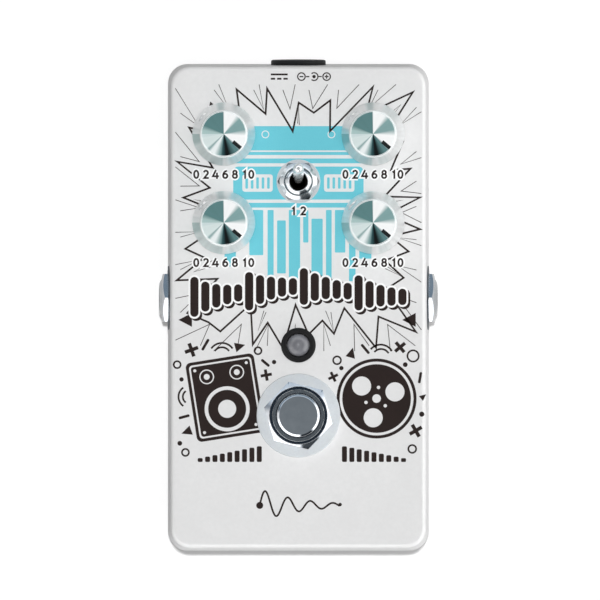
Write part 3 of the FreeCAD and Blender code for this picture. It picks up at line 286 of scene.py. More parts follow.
# Cyan tape transport: a band with round holes, a band with two slotted windows, and bars that
# fall to uneven lengths like an echo.
transport = [rounded(0, 38.9, 34.6, 5.6, 0.8), rounded(0, 28.6, 30.0, 7.6, 1.2),
             rounded(0, 35.4, 33.0, 0.7, 0.3), rounded(0, 33.7, 31.0, 1.1, 0.3),
             rounded(0, 23.5, 30.5, 1.1, 0.4)]
for side in (-1, 1):
    transport += [circle(7.6 * side, 39.8, 0.9), circle(7.6 * side, 39.8, 0.68),
                  circle(11.2 * side, 38.2, 0.9), circle(11.2 * side, 38.2, 0.68),
                  rounded(9.4 * side, 28.6, 7.0, 4.0, 0.6)]
    transport += [rounded((9.4 + 1.25 * slot) * side, 28.6, 0.6, 2.6, 0.2)
                  for slot in (-2, -1, 0, 1, 2)]
print_ink("tape_transport", [transport], CYAN_TOP, cyan_ink)
falling_bars = []
for x, width, top, length in (
        (-15.7, 2.6, 22.4, 13.0), (-12.7, 1.3, 22.4, 8.2), (-9.7, 3.2, 22.4, 10.4),
        (-6.4, 1.4, 22.4, 19.5), (-3.9, 2.0, 20.0, 12.2), (-0.9, 2.6, 22.4, 17.0),
        (1.7, 1.2, 22.4, 7.5), (4.3, 2.6, 20.4, 14.6), (7.0, 1.3, 22.4, 20.6),
        (9.6, 2.4, 22.4, 9.8), (12.4, 1.5, 22.4, 16.4), (15.4, 2.8, 22.4, 11.2)):
    falling_bars.append(rounded(x, top - length / 2, width, length, 0.2))
print_ink("falling_bars", [falling_bars], CYAN_TOP, cyan_ink)

# A black zigzag that spreads from the middle of the controls towards the panel's edges, with
# fine wedges that point into its gaps. Sines make its turns and points uneven.
BURST_TURNS = 27
BURST_Y = 20.6
BURST_REACH = (28.6, 31.0)
BURST_UNEVEN = 0.07


def burst_point(step, share):
    """A point in mm at a share of the way from the controls' middle to the panel's edge."""
    angle = math.pi * (step + 0.3 + 0.25 * math.sin(2.6 * step)) / BURST_TURNS
    edge = 1 / max(abs(math.cos(angle)) / BURST_REACH[0], abs(math.sin(angle)) / BURST_REACH[1])
    return (edge * share * math.cos(angle), BURST_Y + edge * share * math.sin(angle))


zigzag = []
wedges = []
for step in range(0, 2 * BURST_TURNS, 2):
    zigzag.append(burst_point(step, 0.71 + BURST_UNEVEN * math.sin(1.7 * step)))
    zigzag.append(burst_point(step + 1, 0.91 + BURST_UNEVEN * math.cos(2.3 * step)))
    deep = 0.83 + 0.04 * math.sin(3.1 * step)
    wedges.append(stroke([burst_point(step - 0.42, 0.99), burst_point(step + 0.08, deep),
                          burst_point(step + 0.34, 0.95)], FINE_LINE))
    if step % 3 == 0:
        wedges.append(stroke([burst_point(step + 0.9, 0.69), burst_point(step + 1.02, 0.84),
                              burst_point(step + 1.22, 0.7)], FINE_LINE))
print_ink("zigzag_burst", [stroke(zigzag, BOLD_LINE, closed=True)], BLACK_TOP, black_ink)
print_ink("fine_wedges", wedges, BLACK_TOP + INK_STEP, black_ink)

# A fading echo across the panel, as round-ended bars with white edges and a black shadow.
ECHO_BARS = 20
ECHO_PITCH = 2.52
BAR_WIDTH = 1.9
BACK_WIDTH = 2.7
echo = []
for step in range(ECHO_BARS):
    height = 3.0 + 6.2 * math.exp(-(step % 5) / 2.2) * (1 - 0.012 * step)
    echo.append(((step - (ECHO_BARS - 1) / 2) * ECHO_PITCH, 3.6 - 1.2 * math.cos(step * 0.33),
                 height))
print_ink("echo_shadows", [[rounded(x + 0.45, y - 0.5, BACK_WIDTH, height + 0.9, 1.3)]
                           for x, y, height in echo], BLACK_TOP + 0.01, black_ink)
print_ink("echo_backs", [[rounded(x, y, BACK_WIDTH, height + 0.9, 1.3)] for x, y, height in echo],
          BLACK_TOP + 0.018, white_ink)
print_ink("echo_bars", [[rounded(x, y, BAR_WIDTH, height, 0.94) for x, y, height in echo]],
          BLACK_TOP + 0.026, black_ink)

# Signal arrows beside the jacks, the direct-current sign and polarity of the power socket, and
# a fading wave at the foot of the panel.
SIGN_Y = 53.1
WAVE_Y = -45.6
marks = [[(26.4 + side, -4.5), (26.4 + side, -1.3), (23.3 + side, -2.9)] for side in (0.6, -50.9)]
marks += [rounded(-4.4, SIGN_Y + 0.5, 3.9, BOLD_LINE, 0.1)]
marks += [rounded(x, SIGN_Y - 0.5, 1.0, BOLD_LINE, 0.1) for x in (-5.85, -4.4, -2.95)]
for x in (0.7, 6.5):
    marks += [circle(x, SIGN_Y, 1.0), circle(x, SIGN_Y, 0.72),
              rounded(x, SIGN_Y, 0.9, MARK_LINE, 0.05)]
marks += [rounded(6.5, SIGN_Y + side * 0.31, MARK_LINE, 0.31, 0.02) for side in (-1, 1)]
marks += [circle(3.6, SIGN_Y, 0.4, 16)]
marks += stroke([(3.6 + 0.9 * math.cos(math.radians(angle)),
                  SIGN_Y + 0.9 * math.sin(math.radians(angle))) for angle in range(-130, 131, 20)],
                MARK_LINE)
marks += [rounded(x, SIGN_Y, 0.75, MARK_LINE, 0.05) for x in (2.15, 5.0)]
print_ink("panel_marks", [marks], BLACK_TOP, black_ink)
wave = [(-8.9 + 0.2 * step, WAVE_Y + 3.8 * math.exp(-step / 45) * math.sin(step * math.pi / 13))
        for step in range(93)]
print_ink("fading_wave", [stroke(wave, BOLD_LINE), [circle(-8.9, WAVE_Y, 0.8)],
                          [circle(9.6, WAVE_Y + 0.2, 0.4)]], BLACK_TOP, black_ink)

# Numbers of each control's scale and of the toggle's two places, drawn as bold pen lines.
# Each digit is a list of paths about its middle, with True for a path that closes.
KNOB_X = 17.17
SCALE_ROWS = (("rear", 30.6), ("front", 10.3))
DIGIT_ROOM = 1.46
SPACE_ROOM = 0.66
BACK_LINE = 1.1
ROUND = [(math.cos(math.radians(angle)), math.sin(math.radians(angle)))
         for angle in range(0, 360, 15)]
DIGITS = {
    "0": [([(0.46 * c, 0.8 * s) for c, s in ROUND], True)],
    "1": [([(-0.28, 0.42), (0.12, 0.74), (0.12, -0.97)], False)],
    "2": [([(0.44 * math.cos(math.radians(a)), 0.36 + 0.44 * math.sin(math.radians(a)))
            for a in range(170, -31, -20)] + [(-0.36, -0.8), (0.62, -0.8)], False)],
    "4": [([(0.08, 0.95), (-0.6, -0.42), (0.72, -0.42)], False),
          ([(0.3, 0.36), (0.3, -0.97)], False)],
    "6": [([(0.46 * c, 0.46 * s - 0.34) for c, s in ROUND], True),
          ([(0.4, 0.74), (0.16, 0.72), (-0.1, 0.58), (-0.32, 0.3), (-0.45, -0.05),
            (-0.46, -0.34)], False)],
    "8": [([(0.38 * c, 0.38 * s + 0.42) for c, s in ROUND], True),
          ([(0.46 * c, 0.44 * s - 0.36) for c, s in ROUND], True)]}


def print_numbers(name, numbers, x, y, scale=1.05):
    """Numbers centred on a point, in black over a wider white line."""
    places = []
    reach = 0.0
    for character in numbers:
        if character != " ":
            places.append((reach + 0.62, character))
        reach += SPACE_ROOM if character == " " else DIGIT_ROOM
    lines = [([(x + scale * (a + at - reach / 2 + 0.1), y + scale * b) for a, b in path], closed)
             for at, character in places for path, closed in DIGITS[character]]
    print_ink(name + "_back", [stroke(path, BACK_LINE, closed)[-1:] for path, closed in lines],
              BLACK_TOP + 0.01, white_ink)
    print_ink(name, [stroke(path, BOLD_LINE, closed) for path, closed in lines],
              BLACK_TOP + 0.018, black_ink)


for row, y in SCALE_ROWS:
    for side, x in (("left", -KNOB_X), ("right", KNOB_X)):
        print_numbers("scale_%s_%s" % (side, row), "0 2 4 6 8 10", x, y)
print_numbers("toggle_places", "1 2", 0, 22.2)

# Loudspeaker cabinet on the left and tape reel on the right, with level bars below them.
CABINET = (-16.8, -20.8, 9)
REEL_X, REEL_Y = 18.0, -21.0
LEVEL_PITCH = 1.7
LEVEL_FOOT = -35.6
cabinet = [rounded(CABINET[0], CABINET[1], width, height, corner, CABINET[2])
           for width, height, corner in ((15.9, 18.4, 1.2), (14.5, 17.0, 0.8), (13.7, 16.2, 0.6))]
for u, v, radius in ((0, -2.6, 5.2), (-3.5, 5.4, 1.7), (3.5, 5.4, 1.7)):
    ((cx, cy),) = turned_outline([(u, v)], *CABINET)
    cabinet += [circle(cx, cy, radius * share) for share in (1, 0.84, 0.4)]
for u, v in ((-6, 7.2), (6, 7.2), (-6, -7.2), (6, -7.2)):
    ((cx, cy),) = turned_outline([(u, v)], *CABINET)
    cabinet.append(circle(cx, cy, 0.36, 16))
print_ink("speaker_motif", [cabinet], BLACK_TOP, black_ink)
reel = [circle(REEL_X, REEL_Y, radius, 64) for radius in (9.2, 8.5, 7.9)]
reel.append(circle(REEL_X, REEL_Y, 1.0, 24))
for step in range(3):
    angle = math.radians(120 * step + 20)
    reel.append(circle(REEL_X + 4.5 * math.cos(angle), REEL_Y + 4.5 * math.sin(angle), 2.2))
    angle += 1.05
    reel.append(circle(REEL_X + 2.6 * math.cos(angle), REEL_Y + 2.6 * math.sin(angle), 0.4, 16))
print_ink("reel_motif", [reel], BLACK_TOP, black_ink)
level_bars = []
for step in range(9):
    for first, height in ((-22.6, 0.9 + 0.34 * step), (10.6, 3.6 - 0.34 * step)):
        level_bars.append(rounded(first + LEVEL_PITCH * step, LEVEL_FOOT + height / 2, 1.15,
                                  height, 0.3))
print_ink("level_bars", [level_bars], BLACK_TOP, black_ink)

# Small plain shapes strewn round both motifs: rings, crosses, wedges, dashes and sound waves.
strewn = []
for kind, x, y, size, turn in (
        ("ring", -27.9, -13.2, 1.0, 0), ("cross", -24.6, -9.8, 1.6, 20),
        ("dash", -21.4, -8.6, 1.5, 60), ("wave", -17.6, -9.2, 2.0, 90),
        ("wave", -17.6, -8.2, 3.0, 90), ("wedge", -13.6, -9.0, 1.4, 15),
        ("ring", -9.3, -10.0, 1.0, 0), ("dash", -7.6, -12.8, 1.2, -40),
        ("cross", -7.4, -15.6, 1.3, 10), ("wave", -26.6, -20.6, 1.6, 180),
        ("wave", -27.6, -20.6, 2.6, 180), ("dash", -26.3, -25.2, 1.3, 15),
        ("wedge", -25.6, -28.6, 1.4, 200), ("ring", -26.0, -33.4, 1.0, 0),
        ("dot", -5.6, -12.6, 0.5, 0), ("dot", -26.9, -16.6, 0.5, 0),
        ("dot", -27.3, -31.3, 0.55, 0), ("ring", 26.4, -11.2, 1.5, 0),
        ("cross", 23.4, -9.2, 1.5, 40), ("wave", 19.2, -9.6, 2.0, 85),
        ("wave", 19.2, -8.6, 3.0, 85), ("dash", 15.4, -9.6, 1.4, -50),
        ("wedge", 12.2, -10.6, 1.4, 75), ("ring", 8.9, -12.2, 1.1, 0),
        ("cross", 8.0, -16.0, 1.2, 25), ("dash", 28.0, -16.2, 1.3, 80),
        ("wedge", 28.7, -20.6, 0.9, 40), ("dot", 28.4, -24.6, 0.6, 0),
        ("cross", 27.0, -28.4, 1.6, 30), ("ring", 26.2, -32.6, 1.1, 0),
        ("dot", 9.9, -14.0, 0.5, 0), ("dot", 24.6, -13.2, 0.55, 0)):
    if kind == "ring":
        strewn += [circle(x, y, size, 24), circle(x, y, size - 0.4, 24)]
    elif kind == "dot":
        strewn.append(circle(x, y, size, 16))
    elif kind == "dash":
        strewn.append(rounded(x, y, 2 * size, 0.62, 0.3, turn))
    elif kind == "wedge":
        back, half = -0.7 * size, 0.8 * size
        strewn.append(turned_outline([(size, 0), (back, half), (back, -half)], x, y, turn))
    elif kind == "cross":
        arm = 0.26 * size
        quarter = [(arm, arm), (arm, size), (-arm, size)]
        strewn.append([point for quarters in range(4) for point in turned_outline(
            turned_outline(quarter, 0, 0, 90 * quarters), x, y, turn)])
    else:
        arc = [(size * math.cos(math.radians(angle)) - size, size * math.sin(math.radians(angle)))
               for angle in range(-55, 56, 11)]
        strewn += stroke(turned_outline(arc, x, y, turn), BOLD_LINE)
print_ink("strewn_shapes", [strewn], BLACK_TOP, black_ink)


# Potentiometers: four 9 mm controls with sheet brackets, moulded cases and tinned pins.
# A nickel-plated nut, in one piece with its washer, clamps each bushing under the knob.
# Nickel looks warm and softly bright, tinned brass duller, the filled moulding matt and mottled;
# the turned shafts show rings that run round them.
nickel_plating = grained("nickel_plating", ("cdd0d1", "b9bdbf"), 0.25, 0.001, (0.16, 0.26),
                         Metallic=1.0)
tinned_brass = grained("tinned_brass", ("c3bfb3", "a8a497"), 0.3, 0.002, (0.3, 0.45), Metallic=1.0)
green_thermoset = grained("green_thermoset", ("345442", "294537"), 0.5, 0.01, (0.5, 0.65))
shaft_aluminium = grained("turned_aluminium", ("c4c7ca", "aeb2b6"), 0.2, 0.002, (0.3, 0.4),
                          (1, 1, 4), Metallic=1.0)


def dress(material, *nodes):
    """Gives CAD pieces a better material."""
    for node in nodes:
        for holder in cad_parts[node].material_slots:
            holder.material = material


dress(zinc_plating, "pot_brackets")
dress(green_thermoset, "pot_cases")
dress(tinned_brass, "pot_terminals")
smooth_copy("pot_nuts", "enclosure", "nickel_steel", nickel_plating)
for control in ("repeats", "time", "blend", "level"):
    dress(shaft_aluminium, control + "_pot_shaft")


# Knobs: four aluminium knobs turned from bar, with a tapered polished side and a spun face.
# A milled and black-filled slot points to the number; a grub screw in the side grips the shaft.
KNOB_ROWS = (39.9, 19.5)
KNOB_TOP = 14.0
KNOB_SIDE = [(3.03, 13.0), (3.03, 4.2), (6.2, 4.2), (6.2, 0.95), (6.35, 0.8), (7.05, 0.8),
             (7.2, 0.9), (7.25, 1.1), (7.22, 1.4), (5.66, 13.05), (5.58, 13.42), (5.45, 13.7),
             (5.3, 13.92), (5.22, 13.98), (5.16, 14.0), (5.1, 13.96), (5.04, 14.0), (0.0, 14.0)]
EDGE_HEIGHT = 0.75
POINTER_TURN = 130.0
POINTER_ENDS = (2.75, 5.1)
POINTER_WIDTH = 0.85
GRUB_HEIGHT = 7.6
PLAN_WIDTH = 16.0
RING_SPACING = 0.12


def turned_piece(name, outline, sides=96, closed=False):
    """A circle drawn out through (radius, height) points in mm, and closed at both ends."""
    bpy.ops.object.select_all(action="DESELECT")
    first_radius, first_height = outline[0]
    bpy.ops.mesh.primitive_circle_add(vertices=sides, radius=first_radius * MM,
                                      location=(0, 0, first_height * MM))
    piece = bpy.context.object
    piece.name = name
    bpy.ops.object.transform_apply()
    bpy.ops.object.mode_set(mode="EDIT")
    bpy.ops.mesh.select_all(action="SELECT")
    if not closed and first_radius:
        bpy.ops.mesh.edge_face_add()
    route = outline[1:] + outline[:1] if closed else outline[1:]
    for (radius, height), (next_radius, next_height) in zip(outline, route):
        bpy.ops.mesh.extrude_region_move(
            TRANSFORM_OT_translate={"value": (0, 0, (next_height - height) * MM)})
        share = max(next_radius, 1e-6) / radius
        bpy.ops.transform.resize(value=(share, share, 1), center_override=(0, 0, 0))
    if not closed and outline[-1][0] > 0:
        bpy.ops.mesh.edge_face_add()
    bpy.ops.mesh.select_all(action="SELECT")
    bpy.ops.mesh.remove_doubles(threshold=0.0005 * MM)
    bpy.ops.mesh.normals_make_consistent(inside=False)
    bpy.ops.object.mode_set(mode="OBJECT")
    return piece


def cut_with(piece, cutter, operation="DIFFERENCE"):
    """Applies a boolean with a second mesh, which is then removed."""
    bpy.ops.object.select_all(action="DESELECT")
    bpy.context.view_layer.objects.active = piece
    piece.select_set(True)
    change = piece.modifiers.new("Cut", "BOOLEAN")
    change.operation = operation
    change.solver = "EXACT"
    change.object = cutter
    bpy.ops.object.modifier_apply(modifier="Cut")
    bpy.data.objects.remove(cutter)


def moved_copy(piece, name, matrix):
    """A copy with its own mesh, set at its place in the mesh."""
    twin = bpy.data.objects.new(name, piece.data.copy())
    bpy.context.collection.objects.link(twin)
    twin.data.transform(matrix)
    return twin


def box_piece(name, size, centre):
    """A box of the given size in mm."""
    bpy.ops.object.select_all(action="DESELECT")
    bpy.ops.mesh.primitive_cube_add(size=1, location=[c * MM for c in centre],
                                    scale=[s * MM for s in size])
    piece = bpy.context.object
    piece.name = name
    bpy.ops.object.transform_apply()
    return piece


def on_panel(x, y):
    """The place of a control on the panel."""
    return Matrix.Translation((x * MM, y * MM, PANEL_TOP * MM))


def fit(piece, place, body, slot, material, node, angle=32):
    """Sets a finished piece at its place, shades it and settles it."""
    piece.data.transform(place)
    smooth(piece, angle)
    settle(piece, body, slot, material, node)


knob = turned_piece("knob_blank", KNOB_SIDE, 128)
pointer = box_piece("pointer_cutter", (POINTER_WIDTH, POINTER_ENDS[1] - POINTER_ENDS[0], 1.0),
                    (0, sum(POINTER_ENDS) / 2, KNOB_TOP))
cut_with(knob, pointer)
grub_way = (Matrix.Translation((0, 0, GRUB_HEIGHT * MM))
            @ Matrix.Rotation(math.pi / 2, 4, "X"))
grub_hole = turned_piece("grub_hole", [(1.52, 2.9), (1.52, 8.0)], 32)
grub_hole.data.transform(grub_way)
cut_with(knob, grub_hole)
grub = turned_piece("grub_blank", [(1.0, 3.05), (1.42, 3.4), (1.42, 5.95), (1.3, 6.08)], 32)
bpy.ops.object.select_all(action="DESELECT")
bpy.ops.mesh.primitive_cylinder_add(vertices=6, radius=0.75 / math.cos(math.pi / 6) * MM,
                                    depth=2.4 * MM, location=(0, 0, 5.9 * MM))
socket_cutter = bpy.context.object
bpy.ops.object.transform_apply()
cut_with(grub, socket_cutter)
grub.data.transform(grub_way)
smooth(grub)
for piece in (knob, grub):
    piece.data.transform(Matrix.Rotation(math.radians(-POINTER_TURN), 4, "Z"))
plan = knob.data.uv_layers.new(name="plan")
for corner in knob.data.loops:
    spot = knob.data.vertices[corner.vertex_index].co
    plan.data[corner.index].uv = (spot.x / (PLAN_WIDTH * MM) + 0.5,
                                  spot.y / (PLAN_WIDTH * MM) + 0.5)

# Turned aluminium: the tool leaves rings about 0.05 mm apart, drawn wider here so that they show.
# The bright and dark fans that such rings throw back are painted into the colour as painted
# reflections, with painted streaks, and each fan keeps its place on the face. The cut edge is
# painted near white as a painted highlight, the slot is black enamel and the grub screw blackened
# steel.
# Painted reflections on the face and side: each fan is a painted shade held between two clock
# angles.
PAINTED_FACE_FANS = (("soft", 264, 265), ("pale", 231, 258), ("dull", 224, 225), ("bright", 207, 217),
             ("grey", 191, 192), ("slate", 182, 184), ("black", 166, 174), ("deep", 138, 146),
             ("white", 95, 127), ("grey", 47, 78), ("white", 1, 33), ("dim", -66, -2),
             ("mid", -88, -80))
PAINTED_SIDE_FANS = (("mid", 254, 262), ("pale", 210, 246), ("soft", 184, 204), ("white", 172, 180),
             ("bright", 150, 166), ("white", 66, 140), ("bright", 24, 50), ("white", 4, 18),
             ("soft", -10, -4), ("white", -74, -18), ("bright", -88, -80))
PAINTED_FAN_SHADES = {"white": "fdffff", "bright": "f0f7f7", "pale": "dbe8e7", "soft": "d0e0e0",
          "mid": "adc8c6", "grey": "86a8a8", "dull": "8caaaa", "dim": "5d8485", "deep": "5a8082",
          "slate": "2e4d50", "black": "030809"}


def painted_fan_stops(fans):
    """Colour stops round a full turn for painted reflections, from fans given in clockwise degrees
    from the top.
    """
    stops = []
    for shade, first, last in fans:
        stops += [((270 - last) / 360, PAINTED_FAN_SHADES[shade]), ((270 - first) / 360, PAINTED_FAN_SHADES[shade])]
    return sorted(stops)


def painted_fan_metal(name, fans, rough, streaks, lowest, metallic):
    """Turned metal whose colour carries painted reflections: bright and dark fans by the angle
    round the knob.
    """
    material = new_material(name, Metallic=metallic, Specular_IOR_Level=0.3)
    uv = add_node(material, "ShaderNodeUVMap", {}, uv_map="plan")
    centred = add_node(material, "ShaderNodeMapping",
                       {"Vector": uv.outputs["UV"], "Location": (-0.5, -0.5, 0)})
    angle = add_node(material, "ShaderNodeTexGradient", {"Vector": centred.outputs["Vector"]},
                     gradient_type="RADIAL")
    rim = add_node(material, "ShaderNodeVectorMath", {0: centred.outputs["Vector"]},
                   operation="NORMALIZE")
    lines = add_node(material, "ShaderNodeTexNoise",
                     {"Vector": rim.outputs["Vector"], "Scale": streaks, "Detail": 2.0})
    # Painted reflections: the fans set the colour by the angle, and painted streaks darken it in
    # thin radial lines.
    tint = add_node(material, "ShaderNodeValToRGB", {"Fac": angle.outputs["Fac"]}, fans)
    painted_streaks = add_node(material, "ShaderNodeMapRange",
                     {"Value": lines.outputs["Fac"], "From Min": 0.3, "From Max": 0.7,
                      "To Min": lowest, "To Max": 1.0})
    shade = add_node(material, "ShaderNodeVectorMath",
                     {0: tint.outputs["Color"], 1: painted_streaks.outputs["Result"]}, operation="MULTIPLY")
    radius = add_node(material, "ShaderNodeVectorMath", {0: centred.outputs["Vector"]},
                      operation="LENGTH")
    rings = add_node(material, "ShaderNodeMath",
                     {0: radius.outputs["Value"], 1: PLAN_WIDTH / RING_SPACING * 2 * math.pi},
                     operation="MULTIPLY")
    wave = add_node(material, "ShaderNodeMath", {0: rings.outputs["Value"]}, operation="SINE")
    bump = add_node(material, "ShaderNodeBump",
                    {"Height": wave.outputs["Value"], "Strength": 0.25, "Distance": 0.002 * MM})
    gloss = add_node(material, "ShaderNodeMapRange",
                     {"Value": lines.outputs["Fac"], "To Min": rough[0], "To Max": rough[1]})
    set_surface(material, Base_Color=shade.outputs["Vector"], Roughness=gloss.outputs["Result"],
                Normal=bump.outputs["Normal"])
    return material


spun_face_painted_fans = painted_fan_metal("spun_aluminium_face_painted_fans", painted_fan_stops(PAINTED_FACE_FANS), (0.3, 0.45), 3.0, 0.94, 0.1)
side_painted_fans = painted_fan_metal("turned_aluminium_side_painted_fans", painted_fan_stops(PAINTED_SIDE_FANS), (0.36, 0.46), 9.0, 0.9, 0.7)
pointer_enamel = grained("black_pointer_enamel", ("121517", "0c0e10"), 0.3, 0.01, (0.35, 0.5))
# Painted highlight: the cut edge is coloured near white, so it shows as the brightest line in any
# light.
edge_painted_highlight = grained("diamond_cut_edge_painted_highlight", ("fbfdfd", "eef5f5"), 0.4, 0.002, (0.15, 0.25),
                   Metallic=0.2)
blackened_steel = grained("blackened_steel", ("2b2c2e", "1f2022"), 0.3, 0.003, (0.3, 0.45),
                          Metallic=1.0)
for material in (side_painted_fans, spun_face_painted_fans, pointer_enamel, edge_painted_highlight):
    knob.data.materials.append(material)
for face in knob.data.polygons:
    drop = KNOB_TOP - face.center.z / MM
    top = drop < 0.045 and face.normal.z > 0.9
    inside = math.hypot(face.center.x, face.center.y) < 5.13 * MM and 0.045 < drop < 0.6
    face.material_index = 1 if top else 2 if inside else 3 if drop < EDGE_HEIGHT else 0
smooth(knob)
for control, x, y in (("repeats", -KNOB_X, KNOB_ROWS[0]), ("time", KNOB_X, KNOB_ROWS[0]),
                      ("blend", -KNOB_X, KNOB_ROWS[1]), ("level", KNOB_X, KNOB_ROWS[1])):
    twin = moved_copy(knob, control + "_knob_finish", on_panel(x, y))
    settle(twin, control + "_control", "knob_aluminium", None, control + "_knob")
    screw = moved_copy(grub, control + "_grub_screw", on_panel(x, y))
    settle(screw, control + "_control", "zinc_steel", blackened_steel)
for piece in (knob, grub):
    bpy.data.objects.remove(piece)


# Toggle switch: a plated brass bushing and hex nut hold a small moulded switch.
# The chromed lever pivots on a ball and tips a contact rocker inside the case.
TOGGLE_Y = 29.0
TOGGLE_PIVOT = 1.9
LEVER_LEAN = -12.5
BALL_RADIUS = 2.0
LEVER_SHADE_TOP = 2.5

# Chrome is cold and mirror bright, satin on the lever; nickel is a little warmer. The washer is
# dulled by tumbling. The bore and the lever's foot inside it are painted dark as painted shade.
# The moulding is a matt blue, and the silvered contacts have worn to their brass.
lever_chrome = grained("satin_chrome", ("f2f5f6", "e6eaec"), 1.0, 0.0005, (0.14, 0.18),
                       Metallic=0.6)
polished_chrome = grained("polished_chrome", ("dfe2e6", "cfd3d8"), 2.0, 0.0005, (0.04, 0.09),
                          Metallic=1.0)
bright_nickel = grained("bright_nickel", ("d9dcde", "c6cacd"), 1.2, 0.0008, (0.08, 0.15),
                        Metallic=1.0)
tumbled_nickel = grained("tumbled_nickel", ("eef1f3", "dde1e4"), 0.2, 0.003, (0.5, 0.6),
                         Metallic=0.6)
bore_painted_shade = grained("brass_bore_painted_shade", ("26231f", "1b1916"), 0.4, 0.004, (0.5, 0.6),
                        Metallic=0.8)
lever_foot_painted_shade = grained("lever_foot_painted_shade", ("2c2f33", "202327"), 0.5, 0.002, (0.3, 0.4),
                        Metallic=1.0)
blue_thermoset = grained("blue_thermoset", ("264276", "1d3562"), 0.5, 0.01, (0.5, 0.65))
silvered_brass = grained("silvered_brass", ("c4aa6e", "ad9459"), 0.3, 0.002, (0.25, 0.4),
                         Metallic=1.0)


def hex_nut(name, flats, bore, outline, corner):
    """A six-sided bar cut to a turned outline and bored through, with a corner at an angle."""
    bpy.ops.object.select_all(action="DESELECT")
    low = min(height for radius, height in outline)
    high = max(height for radius, height in outline)
    bpy.ops.mesh.primitive_cylinder_add(vertices=6, radius=flats / 2 / math.cos(math.pi / 6) * MM,
                                        depth=(high - low) * MM,
                                        location=(0, 0, (high + low) / 2 * MM))
    nut = bpy.context.object
    nut.name = name
    bpy.ops.object.transform_apply()
    nut.data.transform(Matrix.Rotation(math.radians(corner - 90), 4, "Z"))
    cut_with(nut, turned_piece(name + "_blank", outline), "INTERSECT")
    cut_with(nut, turned_piece(name + "_bore", [(bore, low - 1), (bore, high + 1)]))
    return nut


def screw_rings(count, start, pitch, root, crest, rise):
    """Outline of a screw thread, as plain rings."""
    heights = [start + pitch * ring for ring in range(count)]
    return [point for height in heights for point in ((root, height), (crest, height + rise))]


place = on_panel(0, TOGGLE_Y)
bushing = turned_piece("toggle_bushing_finish", [
    (2.6, -2.9), (3.175, -2.9), (3.175, 2.5)] + screw_rings(9, 2.6, 0.43, 3.02, 3.175, 0.2) + [
    (3.14, 6.06), (3.05, 6.14), (2.38, 6.48), (2.28, 6.5), (2.16, 6.42), (2.12, 6.3),
    (1.5, TOGGLE_PIVOT + 1.45), (2.03, TOGGLE_PIVOT + 0.95), (2.03, TOGGLE_PIVOT - 2.0)],
    96, closed=True)
# Painted shade: the faces inside the bore take a dark material that stands in for the shade there.
for material in (bright_nickel, bore_painted_shade):
    bushing.data.materials.append(material)
for face in bushing.data.polygons:
    inside = math.hypot(face.center.x, face.center.y) < 2.13 * MM and face.center.z < 6.38 * MM
    face.material_index = 1 if inside else 0
fit(bushing, place, "enclosure", "nickel_plate", None, "toggle_bushing", 20)
washer = turned_piece("toggle_washer_finish", [
    (3.325, 0.0), (4.97, 0.0), (5.05, 0.08), (5.05, 0.4), (4.95, 0.5), (3.4, 0.5),
    (3.325, 0.42)], 96, closed=True)
fit(washer, place, "enclosure", "nickel_steel", tumbled_nickel, "toggle_washer")
nut = hex_nut("toggle_nut_finish", 8.4, 3.195, [
    (4.25, 0.5), (4.85, 0.85), (4.85, 1.56), (4.33, 2.0), (3.5, 2.42), (3.38, 2.46),
    (3.24, 2.44), (3.2, 2.38)], 0)
fit(nut, place, "enclosure", "nickel_plate", bright_nickel, "toggle_nut", 10)
lever_ball = [(BALL_RADIUS * math.cos(math.radians(angle)),
               BALL_RADIUS * math.sin(math.radians(angle))) for angle in range(-58, 59, 9)]
lever = turned_piece("toggle_lever_finish", [
    (0.5, -10.4), (0.9, -10.2), (1.1, -9.8), (1.1, -8.8), (0.9, -8.3)] + lever_ball + [
    (1.05, 1.9), (1.04, 2.6), (1.05, 4.9), (1.19, 6.4), (1.23, 8.6), (1.24, 12.9), (1.24, 13.5),
    (1.21, 13.9), (1.1, 14.3), (0.9, 14.6), (0.6, 14.82), (0.3, 14.89), (0.0, 14.9)], 64)
# Painted shade: the lever below its shade line, deep in the bushing, is coloured dark as shade.
for material in (lever_chrome, lever_foot_painted_shade):
    lever.data.materials.append(material)
for face in lever.data.polygons:
    face.material_index = 1 if face.center.z < LEVER_SHADE_TOP * MM else 0
leaning = (place @ Matrix.Translation((0, 0, TOGGLE_PIVOT * MM))
           @ Matrix.Rotation(math.radians(LEVER_LEAN), 4, "X"))
fit(lever, leaning, "toggle_lever", "chrome_plate", None, "toggle_lever")
dress(zinc_plating, "toggle_frame")
dress(blue_thermoset, "toggle_case")
dress(tinned_brass, "toggle_terminals")
dress(silvered_brass, "toggle_rocker")


# Indicator: a moulded black bezel pressed into the panel, with a smoked lens behind it.
# The bezel is matt, the lens smooth and cloudy grey; two leads run down to the switch board.
LAMP_Y = -8.7
bezel_plastic = grained("moulded_black_abs", ("141414", "0f0f10"), 0.35, 0.006, (0.5, 0.65),
                        Specular_IOR_Level=0.25)
smoked_epoxy = grained("smoked_epoxy", ("808186", "727378"), 1.5, 0.01, (0.08, 0.16),
                       Transmission_Weight=0.06, IOR=1.52)
bezel = turned_piece("lamp_bezel_finish", [
    (2.68, -5.5), (3.2, -5.5), (3.2, 0.0), (3.95, 0.0), (4.0, 0.06), (4.0, 1.1), (3.93, 1.35),
    (3.75, 1.55), (3.5, 1.66), (3.2, 1.7), (2.95, 1.68), (2.78, 1.58), (2.7, 1.4)], 96, closed=True)
fit(bezel, on_panel(0, LAMP_Y), "enclosure", "black_moulding", bezel_plastic, "lamp_bezel")
dome = [(2.6 * math.cos(math.radians(angle)), 1.0 + 1.1 * math.sin(math.radians(angle)))
        for angle in range(0, 90, 8)]
lens = turned_piece("lamp_lens_finish", [(3.0, -6.5), (3.0, -5.55), (2.6, -5.5)] + dome
                    + [(0.0, 2.1)], 96)
fit(lens, on_panel(0, LAMP_Y), "enclosure", "grey_lens", smoked_epoxy, "lamp_lens")
dress(tinned_brass, "lamp_leads")


# Footswitch: a latching switch in a steel yoke, whose M12 bushing comes up through the panel.
# A chromed nut with a round collar holds it over a white nylon washer; the button is chromed.
FOOT_Y = -24.9
NUT_TURN = 106.3

